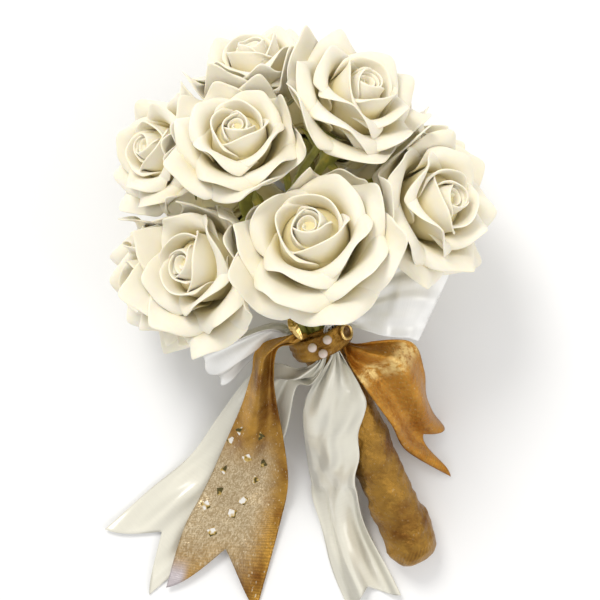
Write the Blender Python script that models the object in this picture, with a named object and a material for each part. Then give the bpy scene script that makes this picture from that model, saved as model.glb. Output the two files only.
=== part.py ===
"""A bouquet of cream foam roses, tied with ivory satin and gold ribbon.

It lies on a flat surface at z = 0, on its lower blooms and on the end of its handle.
+Y runs from the handle to the blooms and +Z points up from the surface.
Lengths are in millimetres until a mesh is made, which turns them into metres.
"""

import math
import random
from collections import namedtuple

import bmesh
import bpy
from mathutils import Vector

MM = 0.001
SEED = 11

# The object's reference point, the middle of its box on the surface, in the layout's own millimetres
ORIGIN = Vector((-5.75, -16.1, 0.0))
CLEARANCE = 0.3
FLOOR_LIFT = 0.05

# Blooms: foam petals in rows round a bud
FOAM = 0.9
BLOOM_HEIGHT = 30.0
LENGTH_STEPS = 20
ROOT_SHARE = 0.45
FULL_WIDTH_AT = 0.6
CORNER_NARROWING = 0.22
SHOULDER_DROP = 0.2
SHOULDER_POWER = 2.5
PRESS_SOFTNESS = 5.0
EDGE_CURL_POWER = 1.6
LEAN_EASE = 0.55
TIP_HALF_WIDTH = 0.4
PRESS_OUTWARD = 0.4
UPRIGHT = 0.9
WELD = 0.0005

PetalRow = namedtuple(
    "PetalRow",
    "count root_radius root_height length width low_lean mid_lean rim_lean edge_lean"
    " flatness tip turn inset across along",
)
PETAL_ROWS = (
    PetalRow(5, 10.0, 3.0, 35.5, 46.0, 62, 40, 86, 132, 1.25, 4.0, 0.0, 0.0, 4, (0, 0.5, 0.8, 1)),
    PetalRow(4, 12.5, 9.0, 29.5, 40.0, 36, 14, 58, 98, 1.1, 2.0, 0.6, 2.0, 2, (0, 0.65, 1)),
    PetalRow(3, 11.2, 17.0, 20.5, 32.0, 4, -2, 0, 8, 1.0, 0.0, 0.2, 4.0, 2, (0, 1)),
)
ROW_FILL = 0.95
CORE_PROFILE = ((0.0, 5.0), (4.0, 11.6), (12.0, 15.4), (24.0, 14.4), (30.0, 5.0), (36.5, 3.6))
CORE_SIDES = 6

# Each rose: centre of its widest outline, the way it faces, its size, how far its petals stand over its
# neighbours, its stem's place in the bundle, and how strongly the stem keeps its direction at the bloom
# and at the knot
Rose = namedtuple("Rose", "name centre facing size lift place leave gather")
ROSES = (
    Rose("front", (5.0, 32.6, 139.5), (-0.20, 0.43, 0.88), 1.13, 8.0, 8, 0.55, 0.42),
    Rose("upper_right", (30.0, 101.5, 122.0), (0.48, 0.57, 0.67), 1.0, 3.0, 0, 0.38, 0.6),
    Rose("upper_left", (-29.7, 80.6, 129.3), (-0.09, 0.54, 0.84), 0.9, 3.0, 2, 0.2, 0.25),
    Rose("right", (70.5, 48.6, 113.0), (0.70, 0.16, 0.70), 1.04, 5.0, 12, 0.55, 0.25),
    Rose("left", (-53.5, 17.2, 109.5), (-0.72, 0.10, 0.69), 1.06, 5.0, 9, 0.2, 0.42),
    Rose("far_left", (-73.5, 75.5, 93.0), (-0.72, 0.25, 0.65), 0.88, -2.0, 5, 0.55, 0.8),
    Rose("low_left", (-77.5, 8.0, 77.0), (-0.82, -0.25, 0.51), 0.95, -2.0, 10, 0.55, 0.25),
    Rose("top", (-22.5, 120.5, 96.0), (-0.25, 0.85, 0.46), 0.95, -1.0, 11, 0.55, 0.25),
    Rose("back_right", (38.0, 40.0, 8.2), (0.28, -0.05, -0.96), 1.0, 0.0, 1, 0.38, 0.8),
    Rose("back_left", (-36.0, 38.0, 8.2), (-0.28, -0.05, -0.96), 1.0, 0.0, 4, 0.38, 0.8),
    Rose("back_top", (3.0, 94.0, 17.0), (0.05, 0.45, -0.89), 1.0, 0.0, 6, 0.2, 0.25),
    Rose("side_right", (66.0, 57.0, 52.0), (0.88, -0.02, -0.47), 1.0, 0.0, 7, 0.38, 0.25),
    Rose("side_top", (31.0, 97.0, 56.0), (0.50, 0.72, -0.48), 1.0, 0.0, 3, 0.8, 0.42),
)
# A wall that keeps a bloom off the bow: its direction and how far along it the bloom may reach
BOW_WALLS = {"side_right": ((0.0, -1.0, 0.0), -23.0)}
CELL_DEPTH = 15.0
CELL_REACH = 115.0

# Stems: green, one under each bloom, bundled at the knot and down the handle
STEM_RADIUS = 2.0
STEM_SIDES = 5
STEM_SPACING = 4.4
STEM_CURVE_RINGS = 5
STEM_END_GAP = 1.5
GATHER_ABOVE_KNOT = 6.0
CUP_RINGS = ((0.0, 5.2), (3.5, 4.6), (8.0, 2.6))
SEPAL_COUNT = 3
SEPAL_LENGTH = 21.0
SEPAL_WIDTH = 8.5
SEPAL_LEAN = 74
SEPAL_THICKNESS = 0.8
SEPAL_ROOT_DEPTH = 3.4
SEPAL_ROOT_RADIUS = 2.5
SEPAL_SHORTEST = 9.0
SEPAL_OUTLINE = ((0.0, 0.5), (0.45, 1.0), (1.0, 0.14))

# Handle: gold ribbon wound round the stems, closed by a folded end
KNOT = Vector((10.4, -19.3, 50.0))
HANDLE_END = Vector((60.0, -130.4, 13.2))
WRAP_RADIUS = 12.9
WRAP_NECK_RADIUS = 12.3
WRAP_BORE = 10.3
WRAP_SIDES = 14
WRAP_RINGS = 10
WRAP_ABOVE_KNOT = 7.0
WRAP_FLOOR = 1.0
WRAP_PITCH = 30.0
WRAP_RIDGE = 0.5
WRAP_END_SWELL = 1.5
WRAP_NECK_SHARE = 0.2
WRAP_SWELL_SHARE = 0.3
WRAP_END_ROUNDING = ((4.5, 0.95), (8.5, 0.76), (11.0, 0.42))
WRAP_FLAT = 1.6

# The knot: a gold band over the ribbons' gathered ends, which lie round the handle at ROOT_RADIUS
ROOT_RADIUS = 13.6
ROOT_WIDTH = 5.6
ROOT_START = 0.4
ROOT_BOW = 0.5
BAND_CLEAR = 1.5
BAND_HALF_WIDTH = 6.0
BAND_BORE = 15.3
BAND_WALL = 1.1
BAND_SHIFT = 0.9
BAND_SIDES = 18
BAND_EDGE_DROP = 0.7

# Ribbons: satin about 38 mm and gold about 48 mm wide
RIBBON = 0.8
RIBBON_ACROSS = 4
SLOPE_STEP = 0.01
LOOP_ACROSS = 2

# A ribbon's stations run out from the knot: its left edge, its right edge and how far it bows up
# between them
Station = namedtuple("Station", "left right bow")
SATIN_TAIL_LEFT = (
    Station((-3.0, -36.0, 53.0), (7.5, -42.5, 58.0), 1.0),
    Station((-22.1, -36.5, 41.0), (-1.0, -44.5, 45.0), 2.0),
    Station((-43.4, -62.2, 18.0), (-8.0, -72.4, 20.0), 2.5),
    Station((-60.0, -85.0, 4.5), (-24.5, -104.6, 4.0), 2.0),
    Station((-82.0, -103.5, 1.6), (-51.5, -134.0, 1.2), 0.8),
    Station((-106.8, -125.5, 2.6), (-82.7, -161.7, 0.8), 1.4),
)
SATIN_TAIL_CENTRE = (
    Station((6.2, -44.8, 54.0), (31.0, -43.5, 58.5), 4.5),
    Station((1.6, -59.3, 43.0), (34.4, -54.1, 54.0), 6.5),
    Station((2.7, -75.5, 23.0), (30.4, -69.7, 50.5), 5.5),
    Station((4.2, -87.0, 13.0), (31.0, -82.5, 46.0), 3.0),
    Station((6.0, -98.0, 4.0), (29.0, -96.5, 37.0), 1.5),
    Station((11.5, -122.0, 1.0), (34.5, -119.0, 12.0), 3.0),
    Station((17.0, -146.3, 1.0), (47.0, -144.5, 1.6), 4.0),
    Station((27.4, -171.0, 1.0), (55.3, -161.5, 1.2), 3.0),
)
GOLD_TAIL_LEFT = (
    Station((-9.0, -18.5, 68.0), (-4.0, -22.5, 69.0), 0.5),
    Station((-22.7, -27.3, 63.0), (-11.8, -25.8, 64.5), 1.0),
    Station((-25.5, -39.6, 54.0), (-13.7, -39.6, 56.0), 2.0),
    Station((-30.1, -55.4, 40.0), (-12.3, -53.9, 42.0), 3.0),
    Station((-38.7, -75.2, 25.0), (-8.6, -75.2, 26.0), 3.0),
    Station((-49.5, -98.9, 10.5), (-6.5, -99.5, 11.0), 3.0),
    Station((-63.3, -124.4, 6.0), (-11.5, -124.4, 4.5), 2.5),
    Station((-73.2, -157.3, 4.0), (-24.0, -170.4, 1.0), 1.5),
)
GOLD_TAIL_RIGHT = (
    Station((26.0, -34.0, 60.5), (37.5, -21.5, 58.5), 1.5),
    Station((29.5, -40.4, 57.5), (59.4, -22.9, 50.0), 3.0),
    Station((36.5, -50.6, 50.5), (67.2, -38.0, 36.0), 4.0),
    Station((46.4, -64.9, 38.0), (69.6, -51.9, 23.0), 4.0),
    Station((55.8, -80.5, 20.0), (73.7, -61.2, 11.0), 3.0),
    Station((81.0, -96.8, 1.0), (78.2, -66.4, 1.0), 2.0),
)
SATIN_LOOP_RIGHT = (
    Station((31.4, 5.1, 74.0), (30.5, -14.2, 71.0), -2.0),
    Station((50.3, 18.6, 82.0), (44.4, -18.2, 78.0), -3.0),
    Station((68.7, 19.2, 80.0), (55.3, -19.3, 76.0), -2.0),
    Station((77.6, 16.3, 70.0), (60.5, -21.0, 66.0), 0.0),
    Station((72.2, 15.0, 60.5), (56.0, -18.6, 56.5), 1.0),
    Station((49.2, 9.3, 58.0), (43.2, -15.6, 54.0), 2.0),
    Station((27.0, 3.5, 57.0), (27.5, -3.5, 53.0), 1.0),
)
SATIN_LOOP_LEFT = (
    Station((-15.3, -14.3, 68.0), (-12.0, -21.0, 51.0), 1.0),
    Station((-33.2, -21.5, 70.0), (-26.0, -31.3, 47.0), 2.0),
    Station((-46.4, -26.8, 64.0), (-35.7, -41.5, 40.0), 2.0),
    Station((-52.5, -29.1, 56.0), (-41.2, -44.4, 33.0), 0.0),
    Station((-48.2, -23.6, 49.0), (-38.6, -38.6, 27.5), -1.0),
    Station((-31.4, -17.0, 49.0), (-24.4, -25.5, 31.0), -2.0),
    Station((-14.6, -12.6, 50.0), (-9.5, -17.1, 40.0), -1.0),
)
# Where each ribbon's gathered end lies round the handle, in degrees to the left of its top
ROOT_TURN = {
    "satin_tail_left": 20,
    "satin_tail_centre": -15,
    "gold_tail_left": 37,
    "gold_tail_right": -50,
    "loop_right_front": -32,
    "loop_right_back": -84,
    "loop_left_front": 72,
    "loop_left_back": 104,
}
LOOP_STEPS = 11
NOTCH = {"satin_tail_left": 0.10, "satin_tail_centre": 0.06, "gold_tail_left": 0.08, "gold_tail_right": 0.13}

# Knot ornaments: three pearl beads, a curled gold leaf and a small gold ring, all on the band
BEAD_RADIUS = 2.4
BEADS = ((17, 2.6), (-8, 3.4), (6, -2.4))
BEAD_SIDES = 8
BEAD_RINGS = 6
LEAF = (
    Station((-7.2, -9.5, 67.4), (-4.0, -8.2, 68.0), 0.0),
    Station((-5.4, -15.0, 69.6), (-0.6, -13.4, 70.0), 0.8),
    Station((-0.6, -20.9, 68.1), (2.4, -19.6, 68.5), 0.0),
)
RING_TURN = -46
RING_RADIUS = 3.8
RING_WIRE = 0.9
RING_STEPS = 12
RING_SIDES = 5
RING_LIFT = 0.4
RING_REACH = 1.0
LEAF_ACROSS = 2
LEAF_STEPS = 3

Material = namedtuple("Material", "name colour metallic roughness")
FOAM_MATERIAL = Material("cream_foam", (0.86, 0.80, 0.66, 1), 0.0, 0.75)
GREEN_MATERIAL = Material("leaf_green", (0.18, 0.24, 0.05, 1), 0.0, 0.6)
SATIN_MATERIAL = Material("ivory_satin", (0.88, 0.86, 0.78, 1), 0.0, 0.3)
GOLD_MATERIAL = Material("gold_ribbon", (0.52, 0.30, 0.07, 1), 0.6, 0.35)
PEARL_MATERIAL = Material("pearl", (0.85, 0.80, 0.74, 1), 0.0, 0.15)


def clear_scene():
    for old in list(bpy.data.objects):
        bpy.data.objects.remove(old)


def material(finish):
    found = bpy.data.materials.get(finish.name)
    if found:
        return found
    made = bpy.data.materials.new(finish.name)
    made.use_nodes = True
    shader = made.node_tree.nodes["Principled BSDF"]
    shader.inputs["Base Color"].default_value = finish.colour
    shader.inputs["Metallic"].default_value = finish.metallic
    shader.inputs["Roughness"].default_value = finish.roughness
    return made


def unit(vector):
    return vector.normalized()


def smooth(value):
    """Ease from 0 to 1 as value goes from 0 to 1."""
    value = min(1.0, max(0.0, value))
    return value * value * (3.0 - 2.0 * value)


def mesh_object(name, bm, finish):
    """Turn a bmesh in the layout's millimetres into an object in metres, about the reference point."""
    for vertex in bm.verts:
        vertex.co = (vertex.co - ORIGIN) * MM
    mesh = bpy.data.meshes.new(name)
    bm.to_mesh(mesh)
    bm.free()
    mesh.materials.append(material(finish))
    made = bpy.data.objects.new(name, mesh)
    bpy.context.scene.collection.objects.link(made)
    return made


def add_sheet(bm, grid, thickness):
    """Add a closed blade round a grid of points, grid[i][j], split into triangles alike on both faces."""
    rows = len(grid)
    columns = len(grid[0])
    upper = []
    lower = []
    for i in range(rows):
        upper.append([])
        lower.append([])
        for j in range(columns):
            across = grid[min(i + 1, rows - 1)][j] - grid[max(i - 1, 0)][j]
            along = grid[i][min(j + 1, columns - 1)] - grid[i][max(j - 1, 0)]
            normal = unit(across.cross(along))
            upper[i].append(bm.verts.new(grid[i][j] + normal * thickness / 2))
            lower[i].append(bm.verts.new(grid[i][j] - normal * thickness / 2))
    for i in range(rows - 1):
        for j in range(columns - 1):
            a, b, c, d = upper[i][j], upper[i + 1][j], upper[i + 1][j + 1], upper[i][j + 1]
            bm.faces.new((a, b, c))
            bm.faces.new((a, c, d))
            a, b, c, d = lower[i][j], lower[i + 1][j], lower[i + 1][j + 1], lower[i][j + 1]
            bm.faces.new((c, b, a))
            bm.faces.new((d, c, a))
    rim = [(i, 0) for i in range(rows)]
    rim += [(rows - 1, j) for j in range(1, columns)]
    rim += [(i, columns - 1) for i in range(rows - 2, -1, -1)]
    rim += [(0, j) for j in range(columns - 2, 0, -1)]
    for (i, j), (k, m) in zip(rim, rim[1:] + rim[:1]):
        bm.faces.new((upper[i][j], lower[i][j], lower[k][m]))
        bm.faces.new((upper[i][j], lower[k][m], upper[k][m]))


def add_tube(bm, rings, cap_start=True, cap_end=True):
    """Join rings of points into a closed tube."""
    made = [[bm.verts.new(point) for point in ring] for ring in rings]
    sides = len(made[0])
    for first, second in zip(made, made[1:]):
        for k in range(sides):
            bm.faces.new((first[k], first[(k + 1) % sides], second[(k + 1) % sides], second[k]))
    if cap_start:
        bm.faces.new(list(reversed(made[0])))
    if cap_end:
        bm.faces.new(made[-1])
    return made


def finish_normals(bm):
    bmesh.ops.recalc_face_normals(bm, faces=bm.faces)


def fuse(name, base, others, finish):
    """Join a body and the blades rooted in it by one Boolean union, and keep its one outer shell."""
    body = mesh_object(name, base, finish)
    helpers = bpy.data.collections.new(name + "_blades")
    bpy.context.scene.collection.children.link(helpers)
    for index, blade in enumerate(others):
        piece = mesh_object(f"{name}_blade_{index}", blade, finish)
        bpy.context.scene.collection.objects.unlink(piece)
        helpers.objects.link(piece)
    union = body.modifiers.new("petals", "BOOLEAN")
    union.operation = "UNION"
    union.operand_type = "COLLECTION"
    union.collection = helpers
    union.solver = "MANIFOLD"
    bpy.context.view_layer.update()
    evaluated = body.evaluated_get(bpy.context.evaluated_depsgraph_get())
    joined = bpy.data.meshes.new_from_object(evaluated)
    body.modifiers.clear()
    body.data = joined
    for piece in list(helpers.objects):
        bpy.data.objects.remove(piece)
    bpy.data.collections.remove(helpers)
    keep_outer_shell(body)
    return body


def keep_outer_shell(body):
    """Drop sealed hollows and loose scraps: what stays is the shell with the most faces."""
    bm = bmesh.new()
    bm.from_mesh(body.data)
    bmesh.ops.remove_doubles(bm, verts=bm.verts, dist=MM * WELD)
    bmesh.ops.triangulate(bm, faces=bm.faces)
    unseen = set(bm.faces)
    shells = []
    while unseen:
        shell = []
        waiting = [unseen.pop()]
        while waiting:
            face = waiting.pop()
            shell.append(face)
            for edge in face.edges:
                for other in edge.link_faces:
                    if other in unseen:
                        unseen.discard(other)
                        waiting.append(other)
        shells.append(shell)
    shells.sort(key=len)
    scraps = [face for shell in shells[:-1] for face in shell]
    bmesh.ops.delete(bm, geom=scraps, context="FACES")
    bm.to_mesh(body.data)
    bm.free()


def rose_frame(rose):
    """The rose's axis and two directions across it."""
    axis = unit(Vector(rose.facing))
    guide = Vector((0.0, 0.0, 1.0)) if abs(axis.z) < UPRIGHT else Vector((0.0, 1.0, 0.0))
    first = unit(guide.cross(axis))
    return axis, first, axis.cross(first)


def rose_base(rose):
    return Vector(rose.centre) - unit(Vector(rose.facing)) * BLOOM_HEIGHT * rose.size


def cell_middle(rose):
    return Vector(rose.centre) - unit(Vector(rose.facing)) * (CELL_DEPTH - rose.lift)


def cell_walls(rose):
    """The planes that keep this bloom off its neighbours and the surface: direction and reach along it."""
    own = cell_middle(rose)
    walls = [(Vector((0.0, 0.0, -1.0)), -FLOOR_LIFT)]
    if rose.name in BOW_WALLS:
        toward, reach = BOW_WALLS[rose.name]
        walls.append((Vector(toward), reach))
    for other in ROSES:
        gap = cell_middle(other) - own
        if other.name != rose.name and gap.length < CELL_REACH:
            toward = unit(gap)
            walls.append((toward, toward.dot(own + gap / 2) - CLEARANCE / 2))
    return walls


def lean(row, u, v):
    """The angle between the petal and the bloom's axis, in radians."""
    rim = row.rim_lean + (row.edge_lean - row.rim_lean) * abs(u) ** EDGE_CURL_POWER
    angle = row.low_lean + (row.mid_lean - row.low_lean) * smooth(v / LEAN_EASE)
    angle += (rim - row.mid_lean) * smooth((v - 1 + LEAN_EASE) / LEAN_EASE)
    return math.radians(angle)


def petal_point(row, size, u, v, radius, height, azimuth):
    """A point of the unpressed petal in the bloom's frame."""
    share = ROOT_SHARE + (1 - ROOT_SHARE) * math.sin(math.pi / 2 * min(1.0, v / FULL_WIDTH_AT))
    corner = max(0.0, (v - FULL_WIDTH_AT) / (1 - FULL_WIDTH_AT))
    across = u * row.width * size / 2 * share * (1 - CORNER_NARROWING * corner * corner)
    sector = math.pi * radius / row.count * ROW_FILL
    across = max(-sector, min(sector, across))
    bend = row.flatness * radius
    swing = across / bend
    outward = radius - bend * (1 - math.cos(swing))
    sideways = bend * math.sin(swing)
    return Vector((
        outward * math.cos(azimuth) - sideways * math.sin(azimuth),
        outward * math.sin(azimuth) + sideways * math.cos(azimuth),
        height,
    ))


def pressed(start, steps, walls, axis, outward, margin):
    """Follow steps from start, bending up along any wall that they would cross."""
    points = [start]
    for step in steps:
        point = points[-1]
        for toward, reach in walls:
            free = smooth((reach - margin - toward.dot(point)) / PRESS_SOFTNESS)
            blocked = max(0.0, step.dot(toward)) * (1 - free)
            if blocked > 0:
                up = axis + outward * PRESS_OUTWARD
                up -= toward * up.dot(toward)
                step = step - toward * blocked + unit(up) * blocked
        point = point + step
        for toward, reach in walls * 2:
            over = toward.dot(point) - (reach - margin)
            if over > 0:
                point = point - toward * over
        points.append(point)
    return points


def petal_grid(rose, row, index, walls, twist):
    """The middle surface of one petal, kept inside its bloom's cell."""
    axis, first, second = rose_frame(rose)
    base = rose_base(rose)
    azimuth = twist + row.turn + 2 * math.pi * index / row.count
    outward = first * math.cos(azimuth) + second * math.sin(azimuth)
    grid = []
    for i in range(row.across + 1):
        u = 2 * i / row.across - 1
        length = row.length * (1 - SHOULDER_DROP * abs(u) ** SHOULDER_POWER)
        length += row.tip * max(0.0, 1 - abs(u) / TIP_HALF_WIDTH)
        length *= rose.size
        radius = row.root_radius * rose.size
        height = row.root_height * rose.size
        places = []
        for k in range(LENGTH_STEPS + 1):
            v = k / LENGTH_STEPS
            local = petal_point(row, rose.size, u, v, radius, height, azimuth)
            places.append(base + first * local.x + second * local.y + axis * local.z)
            angle = lean(row, u, v)
            radius += math.sin(angle) * length / LENGTH_STEPS
            height += math.cos(angle) * length / LENGTH_STEPS
        steps = [after - before for before, after in zip(places, places[1:])]
        path = pressed(places[0], steps, walls, axis, outward, FOAM / 2 + row.inset)
        grid.append([path[round(LENGTH_STEPS * share)] for share in row.along])
    return grid


def make_bloom(rose):
    axis, first, second = rose_frame(rose)
    base = rose_base(rose)
    walls = cell_walls(rose)
    draw = random.Random(f"{SEED} {rose.name}")
    twist = draw.uniform(0, 2 * math.pi)
    core = bmesh.new()
    rings = []
    for height, radius in CORE_PROFILE:
        ring = []
        for k in range(CORE_SIDES):
            turn = 2 * math.pi * k / CORE_SIDES
            across = first * math.cos(turn) + second * math.sin(turn)
            ring.append(base + (axis * height + across * radius) * rose.size)
        rings.append(ring)
    add_tube(core, rings)
    finish_normals(core)
    blades = []
    for row in PETAL_ROWS:
        for index in range(row.count):
            blade = bmesh.new()
            add_sheet(blade, petal_grid(rose, row, index, walls, twist), FOAM)
            finish_normals(blade)
            blades.append(blade)
    return fuse("rose_" + rose.name, core, blades, FOAM_MATERIAL)


def handle_frame():
    """Along the handle towards the blooms, up from the surface across it, and to the right across it."""
    along = unit(KNOT - HANDLE_END)
    up = Vector((0.0, 0.0, 1.0))
    up = unit(up - along * up.dot(along))
    return along, up, along.cross(up)


def bundle_place(place):
    """A stem's place in the bundle: 0 in the middle, 1 to 6 round it, and 7 to 12 outside them."""
    _, up, right = handle_frame()
    if place == 0:
        return Vector((0.0, 0.0, 0.0))
    if place <= 6:
        turn = math.pi / 3 * (place - 1)
        radius = STEM_SPACING
    else:
        turn = math.pi / 3 * (place - 7) + math.pi / 6
        radius = STEM_SPACING * math.sqrt(3)
    return (right * math.cos(turn) + up * math.sin(turn)) * radius


def bezier(points, t):
    a, b, c, d = points
    s = 1 - t
    return a * s ** 3 + b * 3 * s * s * t + c * 3 * s * t * t + d * t ** 3


def tube_rings(path, radii, sides):
    """Rings square to a path, turned as little as possible from one to the next."""
    rings = []
    side = None
    for k, point in enumerate(path):
        heading = unit(path[min(k + 1, len(path) - 1)] - path[max(k - 1, 0)])
        if side is None:
            side = unit(heading.orthogonal())
        side = unit(side - heading * side.dot(heading))
        other = heading.cross(side)
        ring = []
        for m in range(sides):
            turn = 2 * math.pi * m / sides
            ring.append(point + (side * math.cos(turn) + other * math.sin(turn)) * radii[k])
        rings.append(ring)
    return rings


def make_stem(rose):
    along, _, _ = handle_frame()
    slot = bundle_place(rose.place)
    axis, first, second = rose_frame(rose)
    top = rose_base(rose) - axis * CLEARANCE
    path = [top - axis * depth for depth, _ in CUP_RINGS]
    radii = [radius for _, radius in CUP_RINGS]
    start = path[-1]
    gather = KNOT + slot + along * GATHER_ABOVE_KNOT
    span = (gather - start).length
    curve = (start, start - axis * span * rose.leave, gather + along * span * rose.gather, gather)
    for k in range(1, STEM_CURVE_RINGS + 1):
        path.append(bezier(curve, k / STEM_CURVE_RINGS))
        radii.append(STEM_RADIUS)
    path.append(HANDLE_END + slot + along * STEM_END_GAP)
    radii.append(STEM_RADIUS)
    stem = bmesh.new()
    add_tube(stem, tube_rings(path, radii, STEM_SIDES))
    finish_normals(stem)
    walls = cell_walls(rose)
    draw = random.Random(f"{SEED} stem {rose.name}")
    twist = draw.uniform(0, 2 * math.pi)
    sepals = []
    for k in range(SEPAL_COUNT):
        turn = twist + 2 * math.pi * k / SEPAL_COUNT
        outward = first * math.cos(turn) + second * math.sin(turn)
        sideways = axis.cross(outward)
        root = top - axis * SEPAL_ROOT_DEPTH + outward * SEPAL_ROOT_RADIUS
        angle = math.radians(SEPAL_LEAN)
        heading = outward * math.sin(angle) + axis * math.cos(angle)
        length = SEPAL_LENGTH
        for toward, reach in walls:
            room = max(0.0, reach - toward.dot(root) - SEPAL_WIDTH / 2)
            approach = heading.dot(toward)
            if approach > 0:
                length = min(length, room / approach)
        if length < SEPAL_SHORTEST:
            continue
        grid = []
        for edge in (-1, 1):
            line = []
            for share, width in SEPAL_OUTLINE:
                line.append(root + heading * length * share + sideways * edge * SEPAL_WIDTH / 2 * width)
            grid.append(line)
        sepal = bmesh.new()
        add_sheet(sepal, grid, SEPAL_THICKNESS)
        finish_normals(sepal)
        sepals.append(sepal)
    return fuse("stem_" + rose.name, stem, sepals, GREEN_MATERIAL)


def knot_direction(degrees):
    """Out from the handle's axis, by an angle to the left of its top, and round it to the right."""
    _, up, right = handle_frame()
    turn = math.radians(degrees)
    return up * math.cos(turn) - right * math.sin(turn), right * math.cos(turn) + up * math.sin(turn)


def root_station(turn, reach):
    """A ribbon's gathered end on the handle, by how far it lies along it from the knot's middle."""
    along, _, _ = handle_frame()
    outward, across = knot_direction(turn)
    middle = KNOT + outward * ROOT_RADIUS + along * reach
    half = across * ROOT_WIDTH / 2
    return Station(tuple(middle - half), tuple(middle + half), ROOT_BOW)


def spline(points, share):
    """A smooth curve through the points, from the first at 0 to the last at 1."""
    place = share * (len(points) - 1)
    k = min(int(place), len(points) - 2)
    t = place - k
    a = points[max(k - 1, 0)]
    b = points[k]
    c = points[k + 1]
    d = points[min(k + 2, len(points) - 1)]
    bend = (2 * a - 5 * b + 4 * c - d) * t * t + (3 * b - a - 3 * c + d) * t ** 3
    return b + ((c - a) * t + bend) / 2


def ribbon_grid(stations, across, steps, notch):
    """The middle surface of a ribbon, with a swallowtail notch at its far end."""
    lefts = [Vector(station.left) for station in stations]
    rights = [Vector(station.right) for station in stations]
    bows = [Vector((station.bow, 0.0, 0.0)) for station in stations]
    grid = []
    for i in range(across + 1):
        u = 2 * i / across - 1
        line = []
        for k in range(steps + 1):
            share = k / steps * (1 - notch * (1 - abs(u)))
            ahead = min(1.0, share + SLOPE_STEP)
            behind = max(0.0, share - SLOPE_STEP)
            left = spline(lefts, share)
            right = spline(rights, share)
            forward = spline(lefts, ahead) - spline(lefts, behind)
            forward += spline(rights, ahead) - spline(rights, behind)
            normal = unit(forward.cross(right - left))
            point = left + (right - left) * (u + 1) / 2 + normal * spline(bows, share).x * (1 - u * u)
            point.z = max(point.z, RIBBON / 2 + FLOOR_LIFT)
            line.append(point)
        grid.append(line)
    return grid


def make_ribbon(name, stations, across, steps, notch, finish):
    bm = bmesh.new()
    add_sheet(bm, ribbon_grid(stations, across, steps, notch), RIBBON)
    finish_normals(bm)
    for vertex in bm.verts:
        vertex.co.z = max(vertex.co.z, 0.0)
    return mesh_object(name, bm, finish)


def make_ribbons():
    below = -BAND_HALF_WIDTH - BAND_CLEAR
    above = BAND_HALF_WIDTH + BAND_CLEAR
    tails = (
        ("satin_tail_left", SATIN_TAIL_LEFT, -1, SATIN_MATERIAL),
        ("satin_tail_centre", SATIN_TAIL_CENTRE, -1, SATIN_MATERIAL),
        ("gold_tail_left", GOLD_TAIL_LEFT, 1, GOLD_MATERIAL),
        ("gold_tail_right", GOLD_TAIL_RIGHT, -1, GOLD_MATERIAL),
    )
    for name, stations, side, finish in tails:
        turn = ROOT_TURN[name]
        roots = (root_station(turn, side * ROOT_START), root_station(turn, above if side > 0 else below))
        make_ribbon(name, roots + stations, RIBBON_ACROSS, len(roots + stations), NOTCH[name], finish)
    for side, stations in (("right", SATIN_LOOP_RIGHT), ("left", SATIN_LOOP_LEFT)):
        front = ROOT_TURN[f"loop_{side}_front"]
        back = ROOT_TURN[f"loop_{side}_back"]
        start = (root_station(front, ROOT_START), root_station(front, above))
        end = (root_station(back, above), root_station(back, ROOT_START))
        name = f"satin_loop_{side}"
        make_ribbon(name, start + stations + end, LOOP_ACROSS, LOOP_STEPS, 0.0, SATIN_MATERIAL)


def wrap_radius(distance, turn):
    """The wound ribbon's outer radius, by distance below the knot and angle round the handle."""
    length = (KNOT - HANDLE_END).length
    share = distance / length
    radius = WRAP_NECK_RADIUS + (WRAP_RADIUS - WRAP_NECK_RADIUS) * smooth(share / WRAP_NECK_SHARE)
    radius += WRAP_END_SWELL * smooth((share - 1 + WRAP_SWELL_SHARE) / WRAP_SWELL_SHARE)
    ridge = WRAP_RIDGE * smooth(share / WRAP_NECK_SHARE)
    return radius + ridge * math.sin(2 * math.pi * distance / WRAP_PITCH + turn)


def make_handle_wrap():
    along, up, right = handle_frame()
    length = (KNOT - HANDLE_END).length

    def ring(reach, radius_at):
        points = []
        for k in range(WRAP_SIDES):
            turn = 2 * math.pi * k / WRAP_SIDES
            outward = up * math.cos(turn) + right * math.sin(turn)
            point = KNOT + along * reach + outward * radius_at(turn)
            if point.z < WRAP_FLAT:
                point.z = 0.0
            points.append(point)
        return points

    rings = [
        ring(-length + WRAP_FLOOR, lambda turn: WRAP_BORE),
        ring(WRAP_ABOVE_KNOT, lambda turn: WRAP_BORE),
    ]
    for k in range(WRAP_RINGS + 1):
        distance = length * k / WRAP_RINGS
        reach = WRAP_ABOVE_KNOT if k == 0 else -distance
        rings.append(ring(reach, lambda turn, distance=distance: wrap_radius(distance, turn)))
    for depth, share in WRAP_END_ROUNDING:
        rings.append(ring(-length - depth, lambda turn, share=share: wrap_radius(length, turn) * share))
    bm = bmesh.new()
    add_tube(bm, rings)
    finish_normals(bm)
    return mesh_object("handle_wrap", bm, GOLD_MATERIAL)


def make_band():
    """The knot's gold band: a ring with softly dropped edges."""
    along, up, _ = handle_frame()
    centre = KNOT + up * BAND_SHIFT
    outer = BAND_BORE + BAND_WALL
    section = (
        (-BAND_HALF_WIDTH, BAND_BORE),
        (-BAND_HALF_WIDTH, outer - BAND_EDGE_DROP),
        (0.0, outer),
        (BAND_HALF_WIDTH, outer - BAND_EDGE_DROP),
        (BAND_HALF_WIDTH, BAND_BORE),
    )
    bm = bmesh.new()
    rings = []
    for k in range(BAND_SIDES):
        outward, _ = knot_direction(360 * k / BAND_SIDES)
        rings.append([bm.verts.new(centre + along * reach + outward * radius) for reach, radius in section])
    for first, second in zip(rings, rings[1:] + rings[:1]):
        for k in range(len(section)):
            m = (k + 1) % len(section)
            bm.faces.new((first[k], first[m], second[m], second[k]))
    finish_normals(bm)
    return mesh_object("knot_band", bm, GOLD_MATERIAL)


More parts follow.
